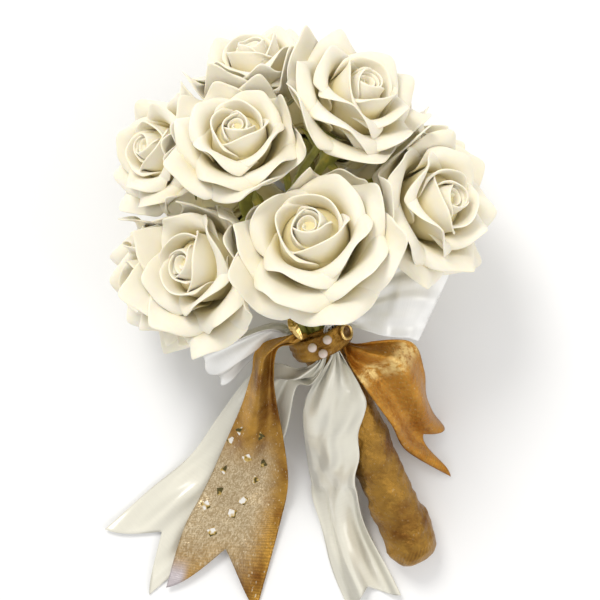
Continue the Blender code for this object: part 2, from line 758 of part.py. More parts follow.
def make_ornaments():
    along, up, _ = handle_frame()
    surface = BAND_BORE + BAND_WALL + BAND_SHIFT + CLEARANCE
    for index, (turn, reach) in enumerate(BEADS):
        outward, _ = knot_direction(turn)
        bm = bmesh.new()
        bmesh.ops.create_uvsphere(bm, u_segments=BEAD_SIDES, v_segments=BEAD_RINGS, radius=BEAD_RADIUS)
        for vertex in bm.verts:
            vertex.co += KNOT + outward * (surface + BEAD_RADIUS) + along * reach
        mesh_object(f"pearl_bead_{index + 1}", bm, PEARL_MATERIAL)
    make_ribbon("gold_leaf", LEAF, LEAF_ACROSS, LEAF_STEPS, 0.0, GOLD_MATERIAL)
    outward, across = knot_direction(RING_TURN)
    centre = KNOT + outward * (surface + RING_WIRE + RING_LIFT) + along * RING_REACH
    bm = bmesh.new()
    rings = []
    for k in range(RING_STEPS):
        turn = 2 * math.pi * k / RING_STEPS
        radial = across * math.cos(turn) + along * math.sin(turn)
        ring = []
        for m in range(RING_SIDES):
            angle = 2 * math.pi * m / RING_SIDES
            offset = radial * (RING_RADIUS + RING_WIRE * math.cos(angle))
            offset += outward * RING_WIRE * math.sin(angle)
            ring.append(bm.verts.new(centre + offset))
        rings.append(ring)
    for first, second in zip(rings, rings[1:] + rings[:1]):
        for m in range(RING_SIDES):
            n = (m + 1) % RING_SIDES
            bm.faces.new((first[m], first[n], second[n], second[m]))
    finish_normals(bm)
    mesh_object("gold_ring", bm, GOLD_MATERIAL)


def main():
    clear_scene()
    for rose in ROSES:
        make_bloom(rose)
        make_stem(rose)
    make_handle_wrap()
    make_band()
    make_ribbons()
    make_ornaments()


main()
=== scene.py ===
"""A hand-tied bouquet of cream foam roses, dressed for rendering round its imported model.

It lies on its side on a pale floor: +Y runs from the handle to the blooms and +Z points up.
Shapes are laid out in millimetres and turned into metres when their mesh is made.
"""

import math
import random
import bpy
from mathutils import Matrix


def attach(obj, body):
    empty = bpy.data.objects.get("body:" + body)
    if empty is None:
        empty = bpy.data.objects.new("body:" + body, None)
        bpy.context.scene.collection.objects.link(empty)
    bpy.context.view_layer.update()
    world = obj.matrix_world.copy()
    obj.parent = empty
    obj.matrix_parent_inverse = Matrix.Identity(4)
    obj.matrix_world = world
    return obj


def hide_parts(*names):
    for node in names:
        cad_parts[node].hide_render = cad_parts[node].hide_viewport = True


bl_info = {
    "name": "Foam rose bouquet",
    "version": (1, 0, 0),
    "blender": (4, 5, 0),
    "location": "View3D > Sidebar > Bouquet",
    "description": "Foam roses, ribbons and trim of a hand-tied bouquet lying on its side",
    "category": "Object",
}

from collections import namedtuple

import bmesh
import bpy
import numpy as np
from bpy.props import FloatProperty, FloatVectorProperty, IntProperty, PointerProperty
from mathutils import Vector, noise

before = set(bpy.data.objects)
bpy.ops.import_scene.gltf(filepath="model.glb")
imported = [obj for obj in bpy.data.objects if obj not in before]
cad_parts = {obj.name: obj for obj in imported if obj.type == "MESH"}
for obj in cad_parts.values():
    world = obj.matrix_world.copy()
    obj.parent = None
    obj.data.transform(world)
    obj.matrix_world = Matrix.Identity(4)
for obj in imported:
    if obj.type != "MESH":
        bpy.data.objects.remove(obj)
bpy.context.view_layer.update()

MM = 0.001
SEED = 11
ORIGIN = np.array((-5.75, -16.1, 0.0))

# Blooms: where each sits, the way it faces and how far it stands over its neighbours
Rose = namedtuple("Rose", "name centre facing size lift place leave gather")
ROSES = (
    Rose("front", (5.0, 32.6, 139.5), (-0.20, 0.43, 0.88), 1.13, 8.0, 8, 0.55, 0.42),
    Rose("upper_right", (30.0, 101.5, 122.0), (0.48, 0.57, 0.67), 1.0, 3.0, 0, 0.38, 0.6),
    Rose("upper_left", (-29.7, 80.6, 129.3), (-0.09, 0.54, 0.84), 0.9, 3.0, 2, 0.2, 0.25),
    Rose("right", (70.5, 48.6, 113.0), (0.70, 0.16, 0.70), 1.04, 5.0, 12, 0.55, 0.25),
    Rose("left", (-53.5, 17.2, 109.5), (-0.72, 0.10, 0.69), 1.06, 5.0, 9, 0.2, 0.42),
    Rose("far_left", (-73.5, 75.5, 93.0), (-0.72, 0.25, 0.65), 0.88, -2.0, 5, 0.55, 0.8),
    Rose("low_left", (-77.5, 8.0, 77.0), (-0.82, -0.25, 0.51), 0.95, -2.0, 10, 0.55, 0.25),
    Rose("top", (-22.5, 120.5, 96.0), (-0.25, 0.85, 0.46), 0.95, -1.0, 11, 0.55, 0.25),
    Rose("back_right", (38.0, 40.0, 8.2), (0.28, -0.05, -0.96), 1.0, 0.0, 1, 0.38, 0.8),
    Rose("back_left", (-36.0, 38.0, 8.2), (-0.28, -0.05, -0.96), 1.0, 0.0, 4, 0.38, 0.8),
    Rose("back_top", (3.0, 94.0, 17.0), (0.05, 0.45, -0.89), 1.0, 0.0, 6, 0.2, 0.25),
    Rose("side_right", (66.0, 57.0, 52.0), (0.88, -0.02, -0.47), 1.0, 0.0, 7, 0.38, 0.25),
    Rose("side_top", (31.0, 97.0, 56.0), (0.50, 0.72, -0.48), 1.0, 0.0, 3, 0.8, 0.42),
)
BOW_WALLS = {"side_right": ((0.0, -1.0, 0.0), -23.0)}
BLOOM_HEIGHT = 30.0
CELL_DEPTH = 15.0
CELL_REACH = 115.0
CLEARANCE = 0.3
FLOOR_LIFT = 0.05
PRESS_SOFTNESS = 5.0
PRESS_OUTWARD = 0.4
UPRIGHT = 0.9

# Petal rows from the outside in: angles lean from the bloom's axis, in degrees
PetalRow = namedtuple(
    "PetalRow",
    "count root_radius root_height length width low_lean mid_lean rim_lean edge_lean"
    " flatness tip turn inset tuck",
)
PETAL_ROWS = (
    PetalRow(5, 10.0, 3.0, 35.5, 54.0, 62, 40, 88, 168, 1.25, 5.5, 0.0, 0.0, 1.0),
    PetalRow(5, 11.0, 6.5, 33.0, 50.0, 48, 24, 76, 162, 1.15, 4.5, 0.63, 1.2, 1.2),
    PetalRow(4, 12.0, 10.0, 29.5, 46.0, 30, 4, 50, 122, 1.1, 3.0, 0.2, 2.2, 1.3),
    PetalRow(3, 13.2, 13.0, 26.0, 46.0, 8, -6, -2, 34, 1.0, 0.8, 0.9, 3.4, 1.3),
    PetalRow(3, 9.5, 16.0, 23.5, 34.0, 2, -12, -18, 10, 1.0, 0.3, 0.3, 4.4, 1.3),
)
PETAL_JITTER = 0.12
REACH_RANGE = (0.96, 1.04)
CURL_RANGE = (0.8, 1.12)
RIM_FALL = 9
TIP_SHIFT = 0.14
RIM_SWAY = 0.16
WAVE_RANGE = (3.5, 5.5)
WAVE_START = 0.45
WALL_MARGIN = 0.45
FLOOR_MARGIN = 0.5
MOST_SWING = 2.2
# The foam ball in a bloom: heights over its base and radii there
HEART_PROFILE = (
    (2.0, 6.0), (8.0, 12.5), (14.0, 15.0), (20.0, 15.4), (25.0, 13.8), (28.6, 11.0), (31.2, 7.6),
    (32.6, 4.0), (33.0, 0.0),
)
# The foam ball's place on the petal colour ramp: it takes the crevice colour, painted shade deep inside the
# bud
HEART_PAINTED_SHADE_PLACE = (0.5, 0.35)
HEART_SIDES = 24
PETAL_ACROSS = 14
PETAL_STEPS = 40
PETAL_ALONG = (0, 6, 12, 17, 22, 26, 30, 33, 36, 38, 40)
ROOT_SHARE = 0.45
FULL_WIDTH_AT = 0.6
CORNER_NARROWING = 0.22
SHOULDER_DROP = 0.2
SHOULDER_POWER = 2.5
EDGE_CURL_POWER = 1.6
LEAN_EASE = 0.55
TIP_HALF_WIDTH = 0.4
SWIRL_TURNS = 2.1
SWIRL_STEPS = 44
SWIRL_ROWS = 6
SWIRL_RADII = (0.35, 5.0)
SWIRL_HEIGHTS = (17.0, 37.4)
SWIRL_FLARE = 0.9
SWIRL_SPREAD = 0.8
SWIRL_DIP = 1.6
SWIRL_WAVE = 0.4

# Stems
STEM_RADIUS = 2.0
STEM_SIDES = 12
STEM_SPACING = 4.4
STEM_CURVE_RINGS = 5
STEM_END_GAP = 1.5
GATHER_ABOVE_KNOT = 6.0
CUP_RINGS = ((0.0, 5.2), (3.5, 4.6), (8.0, 2.6))
SEPAL_COUNT = 3
SEPAL_LENGTH = 21.0
SEPAL_WIDTH = 8.5
SEPAL_LEAN = 74
SEPAL_ROOT_DEPTH = 3.4
SEPAL_ROOT_RADIUS = 2.5
SEPAL_SHORTEST = 9.0
SEPAL_THICKNESS = 0.7
SEPAL_CUPPING = 0.7
SEPAL_DROOP = 0.9
SEPAL_ACROSS = 7
SEPAL_ALONG = 10
SEPAL_TIP_WIDTH = 0.04

# Handle and knot
KNOT = np.array((10.4, -19.3, 50.0))
HANDLE_END = np.array((60.0, -130.4, 13.2))
WRAP_RADIUS = 12.9
WRAP_NECK_RADIUS = 12.3
WRAP_BORE = 10.3
WRAP_ABOVE_KNOT = 7.0
WRAP_FLOOR = 1.0
WRAP_PITCH = 30.0
WRAP_END_SWELL = 1.5
WRAP_NECK_SHARE = 0.2
WRAP_SWELL_SHARE = 0.3
# The wrap's rounded end: depths past the handle's end and shares of its radius there
WRAP_END = ((4.0, 0.96), (7.0, 0.86), (9.2, 0.72), (10.6, 0.54), (11.6, 0.3), (12.0, 0.1))
WRAP_END_FOLD = 0.06
WRAP_END_FOLDS = 3
WRAP_END_TWIST = 0.4
# The step where one turn of the wrap laps the next, with its sunk edge, and the creases over both
WRAP_LAP = 0.9
WRAP_LAP_SHARE = 0.8
WRAP_EDGE = 0.5
WRAP_EDGE_SHARE = 0.05
WRAP_SINK = 0.7
WRAP_CREASE = 1.2
WRAP_CREASE_ROUND = 1.2
WRAP_CREASE_ALONG = 0.12
WRAP_CREASE_SLANT = 0.9
WRAP_WRINKLE = 0.7
WRAP_WRINKLE_RATE = 2.3
WRAP_CREASE_SINK = 0.2
# The wound ribbon and the band laid flat, in metres
WRAP_GIRTH = 0.085
WRAP_COURSE = 0.14
WRAP_SLANT = 0.03
BAND_GIRTH = 0.02
BAND_COURSE = 0.1
WRAP_AROUND = 72
WRAP_ALONG = 120
ROOT_RADIUS = 13.6
ROOT_WIDTH = 5.6
ROOT_START = 0.4
ROOT_BOW = 0.5
BAND_CLEAR = 1.5
BAND_HALF_WIDTH = 6.0
BAND_BORE = 15.3
BAND_WALL = 1.1
BAND_SHIFT = 0.9
BAND_AROUND = 96
BAND_ACROSS = 18
BAND_PLEAT = 0.35
BAND_PLEAT_RATE = 1.7
BAND_DRIFT = 0.8
BAND_RISE = 0.3
BAND_ROUNDING = 0.8

# Ribbons: stations from the knot outwards, each with a left edge, a right edge and a bow between them
Station = namedtuple("Station", "left right bow")


def course(*rows):
    """Stations from rows of the left edge's x, y and z, the right edge's and the bow."""
    return tuple(Station(row[:3], row[3:6], row[6]) for row in rows)


SATIN_TAIL_LEFT = course(
    (-3, -36, 53, 7.5, -42.5, 58, 1),
    (-22.1, -36.5, 41, -1, -44.5, 45, 2),
    (-43.4, -62.2, 18, -8, -72.4, 20, 2.5),
    (-60, -85, 4.5, -24.5, -104.6, 4, 2),
    (-82, -103.5, 1.6, -51.5, -134, 1.2, 0.8),
    (-106.8, -125.5, 2.6, -82.7, -161.7, 0.8, 1.4),
)
SATIN_TAIL_CENTRE = course(
    (6.2, -44.8, 54, 31, -43.5, 58.5, 4.5),
    (1.6, -59.3, 43, 34.4, -54.1, 54, 6.5),
    (2.7, -75.5, 23, 30.4, -69.7, 50.5, 5.5),
    (4.2, -87, 13, 31, -82.5, 46, 3),
    (6, -98, 4, 29, -96.5, 37, 1.5),
    (11.5, -122, 1, 34.5, -119, 12, 3),
    (17, -146.3, 1, 47, -144.5, 1.6, 4),
    (27.4, -171, 1, 55.3, -161.5, 1.2, 3),
)
GOLD_TAIL_LEFT = course(
    (-9, -18.5, 68, -4, -22.5, 69, 0.5),
    (-22.7, -27.3, 63, -11.8, -25.8, 64.5, 1),
    (-25.5, -39.6, 54, -13.7, -39.6, 56, 2),
    (-30.1, -55.4, 40, -12.3, -53.9, 42, 3),
    (-38.7, -75.2, 25, -8.6, -75.2, 26, 3),
    (-49.5, -98.9, 10.5, -6.5, -99.5, 11, 3),
    (-63.3, -124.4, 6, -11.5, -124.4, 4.5, 2.5),
    (-73.2, -157.3, 4, -24, -170.4, 1, 1.5),
)
GOLD_TAIL_RIGHT = course(
    (26, -34, 60.5, 37.5, -21.5, 58.5, 1.5),
    (29.5, -40.4, 57.5, 59.4, -22.9, 50, 3),
    (36.5, -50.6, 50.5, 67.2, -38, 36, 4),
    (46.4, -64.9, 38, 69.6, -51.9, 23, 4),
    (55.8, -80.5, 20, 73.7, -61.2, 11, 3),
    (81, -96.8, 1, 78.2, -66.4, 1, 2),
)
SATIN_LOOP_RIGHT = course(
    (31.4, 5.1, 74, 30.5, -14.2, 71, -2),
    (50.3, 18.6, 82, 44.4, -18.2, 78, -3),
    (68.7, 19.2, 80, 55.3, -19.3, 76, -2),
    (77.6, 16.3, 70, 60.5, -21, 66, 0),
    (72.2, 15, 60.5, 56, -18.6, 56.5, 1),
    (49.2, 9.3, 58, 43.2, -15.6, 54, 2),
    (27, 3.5, 57, 27.5, -3.5, 53, 1),
)
SATIN_LOOP_LEFT = course(
    (-15.3, -14.3, 68, -12, -21, 51, 1),
    (-33.2, -21.5, 70, -26, -31.3, 47, 2),
    (-46.4, -26.8, 64, -35.7, -41.5, 40, 2),
    (-52.5, -29.1, 56, -41.2, -44.4, 33, 0),
    (-48.2, -23.6, 49, -38.6, -38.6, 27.5, -1),
    (-31.4, -17, 49, -24.4, -25.5, 31, -2),
    (-14.6, -12.6, 50, -9.5, -17.1, 40, -1),
)
ROOT_TURN = {
    "satin_tail_left": 20,
    "satin_tail_centre": -15,
    "gold_tail_left": 37,
    "gold_tail_right": -50,
    "loop_right_front": -32,
    "loop_right_back": -84,
    "loop_left_front": 72,
    "loop_left_back": 104,
}
# How a ribbon is cut and folded: flat width and length in millimetres, swallowtail depth, the fine
# pleats at its gathered end and the share of its length that they reach, the broad folds further out
# with their greatest height, and how the folds drift across it
Cut = namedtuple("Cut", "width length notch pleats reach folds height drift")
CUTS = {
    "satin_tail_left": Cut(38.0, 190.0, 0.10, 3.0, 0.14, 1.5, 2.8, 0.5),
    "satin_tail_centre": Cut(38.0, 178.0, 0.06, 3.0, 0.16, 1.6, 3.2, 1.6),
    "gold_tail_left": Cut(48.0, 190.0, 0.08, 2.8, 0.12, 1.3, 3.2, 0.4),
    "gold_tail_right": Cut(42.0, 120.0, 0.13, 2.4, 0.12, 1.5, 3.0, -0.5),
    "satin_loop_right": Cut(38.0, 140.0, 0.0, 2.4, 0.12, 1.0, 2.6, 0.2),
    "satin_loop_left": Cut(33.0, 125.0, 0.0, 2.4, 0.14, 1.5, 1.8, 0.2),
}
PLEAT_HEIGHT = 1.5
FOLD_FADE = 0.16
PLEAT_UNDER_BAND = 0.8
PLEAT_FILL = 0.9
UNDER_BAND_SHARE = 0.06
UNDER_BAND_FADE = 0.08
RIBBON_LIFT = 0.3
RIBBON_ACROSS = 36
RIBBON_ALONG = 100
SLOPE_STEP = 0.01

# Sequins: gaps between them in half sides, greatest tilt, height over the ribbon in millimetres
SEQUIN_TRIES = 40
SEQUIN_SPACING = 4.5
SEQUIN_TILT = 0.12
SEQUIN_LIFT = 0.45

# Knot ornaments
BEAD_RADIUS = 2.4
BEADS = ((17, 2.6), (-8, 3.4), (6, -2.4))
LEAF_THICKNESS = 0.5
LEAF_RIB = 0.25
LEAF_VEINS = 0.12
LEAF_VEIN_RATE = 40
LEAF_VEIN_SLANT = 4
LEAF_RIB_NARROWNESS = 5
LEAF_ACROSS = 15
LEAF_ALONG = 31
LEAF_TIP_WIDTH = 0.12
LEAF = course(
    (-7.2, -9.5, 67.4, -4, -8.2, 68, 0),
    (-5.4, -15, 69.6, -0.6, -13.4, 70, 0.8),
    (-0.6, -20.9, 68.1, 2.4, -19.6, 68.5, 0),
)
RING_TURN = -46
RING_RADIUS = 3.8
RING_WIRE = 0.9
RING_LIFT = 0.4
RING_REACH = 1.0
RING_STEPS = 48
RING_SIDES = 16

# Floor in metres, and the camera straight above the photograph's middle, at its angle of view
FLOOR_SIZE = 4.0
FLOOR_DROP = 0.0002
LIGHT_AIM = Vector((0.0, 0.02, 0.05))
CAMERA_HEIGHT = 1.0
CAMERA_LENS = 109.26
SENSOR_WIDTH = 36.0
CAMERA_CLIP = 0.05


def colour_setting(name, description, default):
    return FloatVectorProperty(
        name=name, description=description, subtype="COLOR", size=3, min=0, max=1, default=default,
    )


def length_setting(name, description, default, most):
    return FloatProperty(name=name, description=description, default=default, min=0, max=most, unit="LENGTH")


class FoamRoseSettings(bpy.types.PropertyGroup):
    """Sizes and colours of the foam blooms."""

    foam: length_setting("Foam thickness", "Thickness of a petal's foam sheet", 0.0009, 0.002)
    waviness: length_setting("Rim waviness", "How far a petal's rim waves", 0.0006, 0.003)
    colour: colour_setting("Petal", "Colour of the open petals", (0.90, 0.85, 0.715))
    # Painted shade: this colour darkens and yellows each petal's root and the bud's depths, where shade
    # falls between the petals
    crevice_painted_shade: colour_setting("Crevice", "Colour deep between the petals", (0.82, 0.73, 0.44))


class RibbonSettings(bpy.types.PropertyGroup):
    """Thickness, colours and finish of the ribbons."""

    thickness: length_setting("Ribbon thickness", "Thickness of the ribbons", 0.0005, 0.001)
    satin: colour_setting("Satin", "Colour of the satin ribbon", (0.80, 0.77, 0.65))
    gold: colour_setting("Gold", "Light colour of the gold ribbon", (0.52, 0.28, 0.045))
    gold_shade: colour_setting("Gold shade", "Deep colour of the gold ribbon", (0.21, 0.08, 0.006))
    sequin: length_setting("Sequin", "Side of a square sequin", 0.0042, 0.008)
    sequin_count: IntProperty(
        name="Sequins", description="Sequins on the left gold tail", default=12, min=0, max=80,
    )


class TrimSettings(bpy.types.PropertyGroup):
    """Colours of the stems, the pearls and the gold trim."""

    green: colour_setting("Green", "Colour of the stems and sepals", (0.40, 0.39, 0.075))
    pearl: colour_setting("Pearl", "Colour of the pearl beads", (0.70, 0.60, 0.52))
    metal: colour_setting("Gold metal", "Colour of the gold leaf and ring", (0.83, 0.58, 0.22))


class StageSettings(bpy.types.PropertyGroup):
    """Floor and studio light."""

    floor: colour_setting("Floor", "Colour of the floor", (0.93, 0.93, 0.93))
    key: FloatProperty(name="Key light", description="Main light", default=11.5, min=0, subtype="POWER")
    fill: FloatProperty(name="Fill light", description="Side light", default=3.0, min=0, subtype="POWER")
    sky: FloatProperty(name="Sky", description="Strength of the even light all round", default=0.76, min=0)


def unit(vector):
    return vector / np.linalg.norm(vector, axis=-1, keepdims=True)


def smooth(value):
    """Ease from 0 to 1 as value goes from 0 to 1."""
    value = np.clip(value, 0.0, 1.0)
    return value * value * (3.0 - 2.0 * value)


def in_metres(points):
    """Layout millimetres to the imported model's metres."""
    return (np.asarray(points) - ORIGIN) * MM


# Materials

class Finish:
    """A material in the making: its node tree and its shader."""

    def __init__(self, name):
        self.material = bpy.data.materials.new(name)
        self.material.use_nodes = True
        self.tree = self.material.node_tree
        self.shader = self.tree.nodes["Principled BSDF"]

    def feed(self, node, inputs):
        """Give a node's sockets, by name or number, values or other nodes' outputs."""
        for socket, value in inputs.items():
            if isinstance(value, bpy.types.NodeSocket):
                self.tree.links.new(value, node.inputs[socket])
            else:
                node.inputs[socket].default_value = value

    def node(self, kind, inputs, output, **values):
        """Add a node and hand over one of its outputs."""
        made = self.tree.nodes.new(kind)
        for key, value in values.items():
            setattr(made, key, value)
        self.feed(made, inputs)
        return made.outputs[output]

    def place(self, layer=None):
        """Where a point lies: on its flat sheet, by a UV map, or else in its object."""
        if layer:
            return self.node("ShaderNodeUVMap", {}, "UV", uv_map=layer)
        return self.node("ShaderNodeTexCoord", {}, "Object")

    def scaled(self, place, scale, turn=0.0):
        inputs = {"Vector": place, "Rotation": (0.0, 0.0, turn), "Scale": scale}
        return self.node("ShaderNodeMapping", inputs, "Vector")

    def noise(self, scale, detail=3.0, roughness=0.5, place=None):
        inputs = {"Scale": scale, "Detail": detail, "Roughness": roughness}
        inputs["Vector"] = self.place() if place is None else place
        return self.node("ShaderNodeTexNoise", inputs, "Fac")

    def stretched(self, source, low, high, ends=(0.0, 1.0), kind="LINEAR"):
        """Map low to high onto the two ends."""
        inputs = {"Value": source, "From Min": low, "From Max": high, "To Min": ends[0], "To Max": ends[1]}
        return self.node("ShaderNodeMapRange", inputs, "Result", interpolation_type=kind)

    def product(self, first, second):
        return self.node("ShaderNodeMath", {0: first, 1: second}, "Value", operation="MULTIPLY")

    def between(self, source, low, high, ease):
        """1 where the source lies between low and high, easing to 0 outside them."""
        rise = self.stretched(source, low - ease, low, kind="SMOOTHSTEP")
        return self.product(rise, self.stretched(source, high + ease, high, kind="SMOOTHSTEP"))

    def ramp(self, source, *stops):
        """A colour for each value of the source, through stops of a place and a colour."""
        ramp = self.tree.nodes.new("ShaderNodeValToRGB")
        while len(ramp.color_ramp.elements) < len(stops):
            ramp.color_ramp.elements.new(1.0)
        for element, (place, colour) in zip(ramp.color_ramp.elements, stops):
            element.position = place
            element.color = (*colour, 1.0)
        self.feed(ramp, {"Fac": source})
        return ramp.outputs["Color"]

    def mix(self, factor, first, second, kind="MIX"):
        """Mix two colours; any of the three may be a value or another node's output."""
        inputs = {0: factor, 6: first, 7: second}
        return self.node("ShaderNodeMix", inputs, 2, data_type="RGBA", blend_type=kind)

    def bump(self, height, distance, strength, under=None):
        inputs = {"Height": height, "Distance": distance, "Strength": strength}
        if under is not None:
            inputs["Normal"] = under
        normal = self.node("ShaderNodeBump", inputs, "Normal")
        self.feed(self.shader, {"Normal": normal})
        return normal

    def shaded(self, colour, **inputs):
        """Give the shader its colour and its other values, and hand over the material."""
        named = {key.replace("_", " "): value for key, value in inputs.items()}
        self.feed(self.shader, {"Base Color": colour, **named})
        return self.material


def shade(colour, factor):
    return tuple(min(1.0, channel * factor) for channel in colour)


def foam_material(settings):
    """Matte foam sheet with a fine grain; painted shade makes it darker and yellower at a petal's root and
    paler at its rim.
    """
    finish = Finish("foam_cream")
    petal = settings.colour
    crevice_painted_shade = settings.crevice_painted_shade
    # Painted shade along each petal, from the crevice colour at its root to the petal colour at its rim
    from_root = finish.node("ShaderNodeSeparateXYZ", {"Vector": finish.place("petal")}, "Y")
    depth = finish.ramp(
        from_root,
        (0.0, shade(crevice_painted_shade, 0.85)), (0.35, crevice_painted_shade), (0.62, shade(petal, 0.97)), (1.0, shade(petal, 1.03)),
    )
    tint = finish.ramp(finish.noise(45.0, 4.0), (0.35, (0.95, 0.94, 0.90)), (0.65, (1.0, 1.0, 1.0)))
    grain = finish.noise(2600.0, 2.0)
    creased = finish.bump(finish.noise(160.0), distance=0.0005, strength=0.35)
    finish.bump(grain, distance=0.00006, strength=0.5, under=creased)
    return finish.shaded(
        finish.mix(1.0, depth, tint, "MULTIPLY"), Roughness=0.62, Sheen_Weight=0.08, Sheen_Roughness=0.5,
        Specular_IOR_Level=0.3, Subsurface_Weight=0.4, Subsurface_Radius=(0.005, 0.004, 0.002),
    )


def satin_material(settings, name="satin_ivory", painted_light_share=0.0):
    """Satin ribbon: fine weft lines along its width, a soft gloss and slanting folds; a share of white
    paints light onto it.
    """
    finish = Finish(name)
    place = finish.place("ribbon")
    weave = finish.noise(1.0, 2.0, place=finish.scaled(place, (60.0, 2400.0, 1.0)))
    slanting = finish.noise(1.0, 1.0, place=finish.scaled(place, (55.0, 16.0, 1.0), turn=0.7))
    # Painted light: the colour is mixed towards white so that a copy of the satin looks more brightly lit
    satin = tuple(channel + (1.0 - channel) * painted_light_share for channel in settings.satin)
    folded = finish.bump(slanting, distance=0.02, strength=1.0)
    finish.bump(weave, distance=0.00002, strength=0.3, under=folded)
    return finish.shaded(
        finish.ramp(weave, (0.3, shade(satin, 0.98)), (0.7, shade(satin, 1.02))),
        Roughness=finish.stretched(weave, 0.0, 1.0, (0.2, 0.28)), Anisotropic=0.45, Sheen_Weight=0.2,
        Sheen_Roughness=0.35, Specular_IOR_Level=1.0, Coat_Weight=0.5, Coat_Roughness=0.2,
    )


def painted_silver_sheen(finish, colour, grains, place):
    """Painted reflection on the left gold tail: a silvery sheen over its middle and a pale lilac glint at
    the corner of its cut end.
    """
    across = finish.node("ShaderNodeSeparateXYZ", {"Vector": place}, "X")
    along = finish.node("ShaderNodeSeparateXYZ", {"Vector": place}, "Y")
    sheen_painted_tone = finish.ramp(grains, (0.3, (0.45, 0.33, 0.18)), (0.8, (0.70, 0.57, 0.37)))
    middle = finish.product(
        finish.between(across, 0.002, 0.03, 0.016), finish.between(along, 0.142, 0.168, 0.022),
    )
    corner = finish.product(
        finish.between(across, -0.001, 0.005, 0.005), finish.between(along, 0.184, 0.2, 0.007),
    )
    return finish.mix(corner, finish.mix(middle, colour, sheen_painted_tone), (0.64, 0.57, 0.58, 1.0))


def net_and_crest(finish, colour, deep, net, place):
    """The right gold tail's net, and a broken pale line where it bends over and catches the light."""
    along = finish.node("ShaderNodeSeparateXYZ", {"Vector": place}, "Y")
    cells = finish.node("ShaderNodeTexBrick", {
        "Vector": place, "Color1": (1, 1, 1, 1), "Color2": (0.75, 0.75, 0.75, 1), "Mortar": (0, 0, 0, 1),
        "Scale": net, "Mortar Size": 0.16, "Mortar Smooth": 0.2, "Brick Width": 0.5, "Row Height": 0.5,
    }, "Color", offset=0.5, squash=1.0)
    netted = finish.mix(0.55, colour, finish.mix(cells, (*shade(deep, 2.2), 1.0), colour))
    breaks = finish.stretched(finish.noise(260.0, 3.0, 0.6, place), 0.38, 0.56)
    crest = finish.product(finish.between(along, 0.051, 0.055, 0.007), breaks)
    return finish.mix(crest, netted, (0.82, 0.58, 0.22, 1.0))


def gold_ribbon_material(
    settings, name="gold_lame", net=0.0, silver_sheen_painted=False, glitter_share=0.4, depth=1.0, creasing=1.0,
):
    """Metallic ribbon: crinkled gold ground with fine ribs; net draws rows of small bright squares and a
    painted highlight where the net tail bends; the left tail gets a painted silvery reflection.
    """
    finish = Finish(name)
    place = finish.place("ribbon")
    light = shade(settings.gold, depth)
    deep = shade(settings.gold_shade, depth)
    ground = finish.ramp(
        finish.noise(55.0, 5.0, 0.6), (0.32, deep), (0.5, shade(light, 0.8)), (0.68, shade(light, 1.15)),
    )
    ribs = finish.node("ShaderNodeTexWave", {
        "Vector": place, "Scale": 420.0, "Distortion": 1.5, "Detail": 2.0, "Detail Scale": 2.0,
    }, "Fac", wave_type="BANDS", bands_direction="Y")
    lines = finish.ramp(ribs, (0.2, (0.78, 0.74, 0.68)), (0.8, (1.1, 1.06, 1.0)))
    grains = finish.node("ShaderNodeTexVoronoi", {"Vector": place, "Scale": 1500.0}, "Color")
    sparkle = finish.ramp(grains, (0.86, (0, 0, 0)), (0.93, (1.0, 0.92, 0.7)))
    colour = finish.mix(glitter_share, finish.mix(0.7, ground, lines, "MULTIPLY"), sparkle, "SCREEN")
    # Painted reflection: a silvery sheen over the middle and a pale glint at the cut corner
    if silver_sheen_painted:
        colour = painted_silver_sheen(finish, colour, grains, place)
    if net:
        colour = net_and_crest(finish, colour, deep, net, place)
    crinkled = finish.bump(finish.noise(150.0, 5.0, 0.6), distance=0.0016 * creasing, strength=0.6)
    finish.bump(ribs, distance=0.00008, strength=0.6, under=crinkled)
    return finish.shaded(colour, Metallic=0.72, Roughness=0.36)


def sequin_material():
    """Small mirror-like gold squares, each a little different."""
    finish = Finish("sequin_gold")
    tone = finish.ramp(
        finish.noise(260.0, 1.0),
        (0.42, (0.09, 0.07, 0.015)), (0.5, (0.6, 0.4, 0.1)), (0.6, (0.95, 0.92, 0.86)),
    )
    return finish.shaded(tone, Metallic=0.5, Roughness=0.2)


def metal_material(metal):
    """Polished gold-coloured wire and leaf, faintly scratched."""
    finish = Finish("gold_polished")
    wear = finish.noise(500.0, 4.0)
    finish.bump(wear, distance=0.0001, strength=0.3)
    tone = finish.ramp(wear, (0.35, shade(metal, 0.75)), (0.6, shade(metal, 1.1)))
    return finish.shaded(tone, Metallic=1.0, Roughness=0.25)


def pearl_material(pearl):
    """Glossy pearl with a faint bloom of pink and green."""
    finish = Finish("pearl_gloss")
    lustre = finish.noise(300.0, 2.0)
    red, green, blue = pearl
    finish.bump(lustre, distance=0.00004, strength=0.3)
    tone = finish.ramp(lustre, (0.3, (red, green * 0.92, blue * 0.93)), (0.7, (red * 0.96, green, blue)))
    return finish.shaded(tone, Roughness=0.16, Coat_Weight=0.8, Coat_Roughness=0.05)


def green_material(green):
    """Moulded green stems and sepals with lengthwise streaks."""
    finish = Finish("leaf_green")
    streaks = finish.noise(120.0, 4.0)
    finish.bump(streaks, distance=0.0003, strength=0.5)
    pale = (green[0] * 1.9, green[1] * 1.6, green[2] * 1.3)
    return finish.shaded(
        finish.ramp(streaks, (0.3, shade(green, 0.6)), (0.55, green), (0.75, pale)), Roughness=0.5,
    )


# Meshes

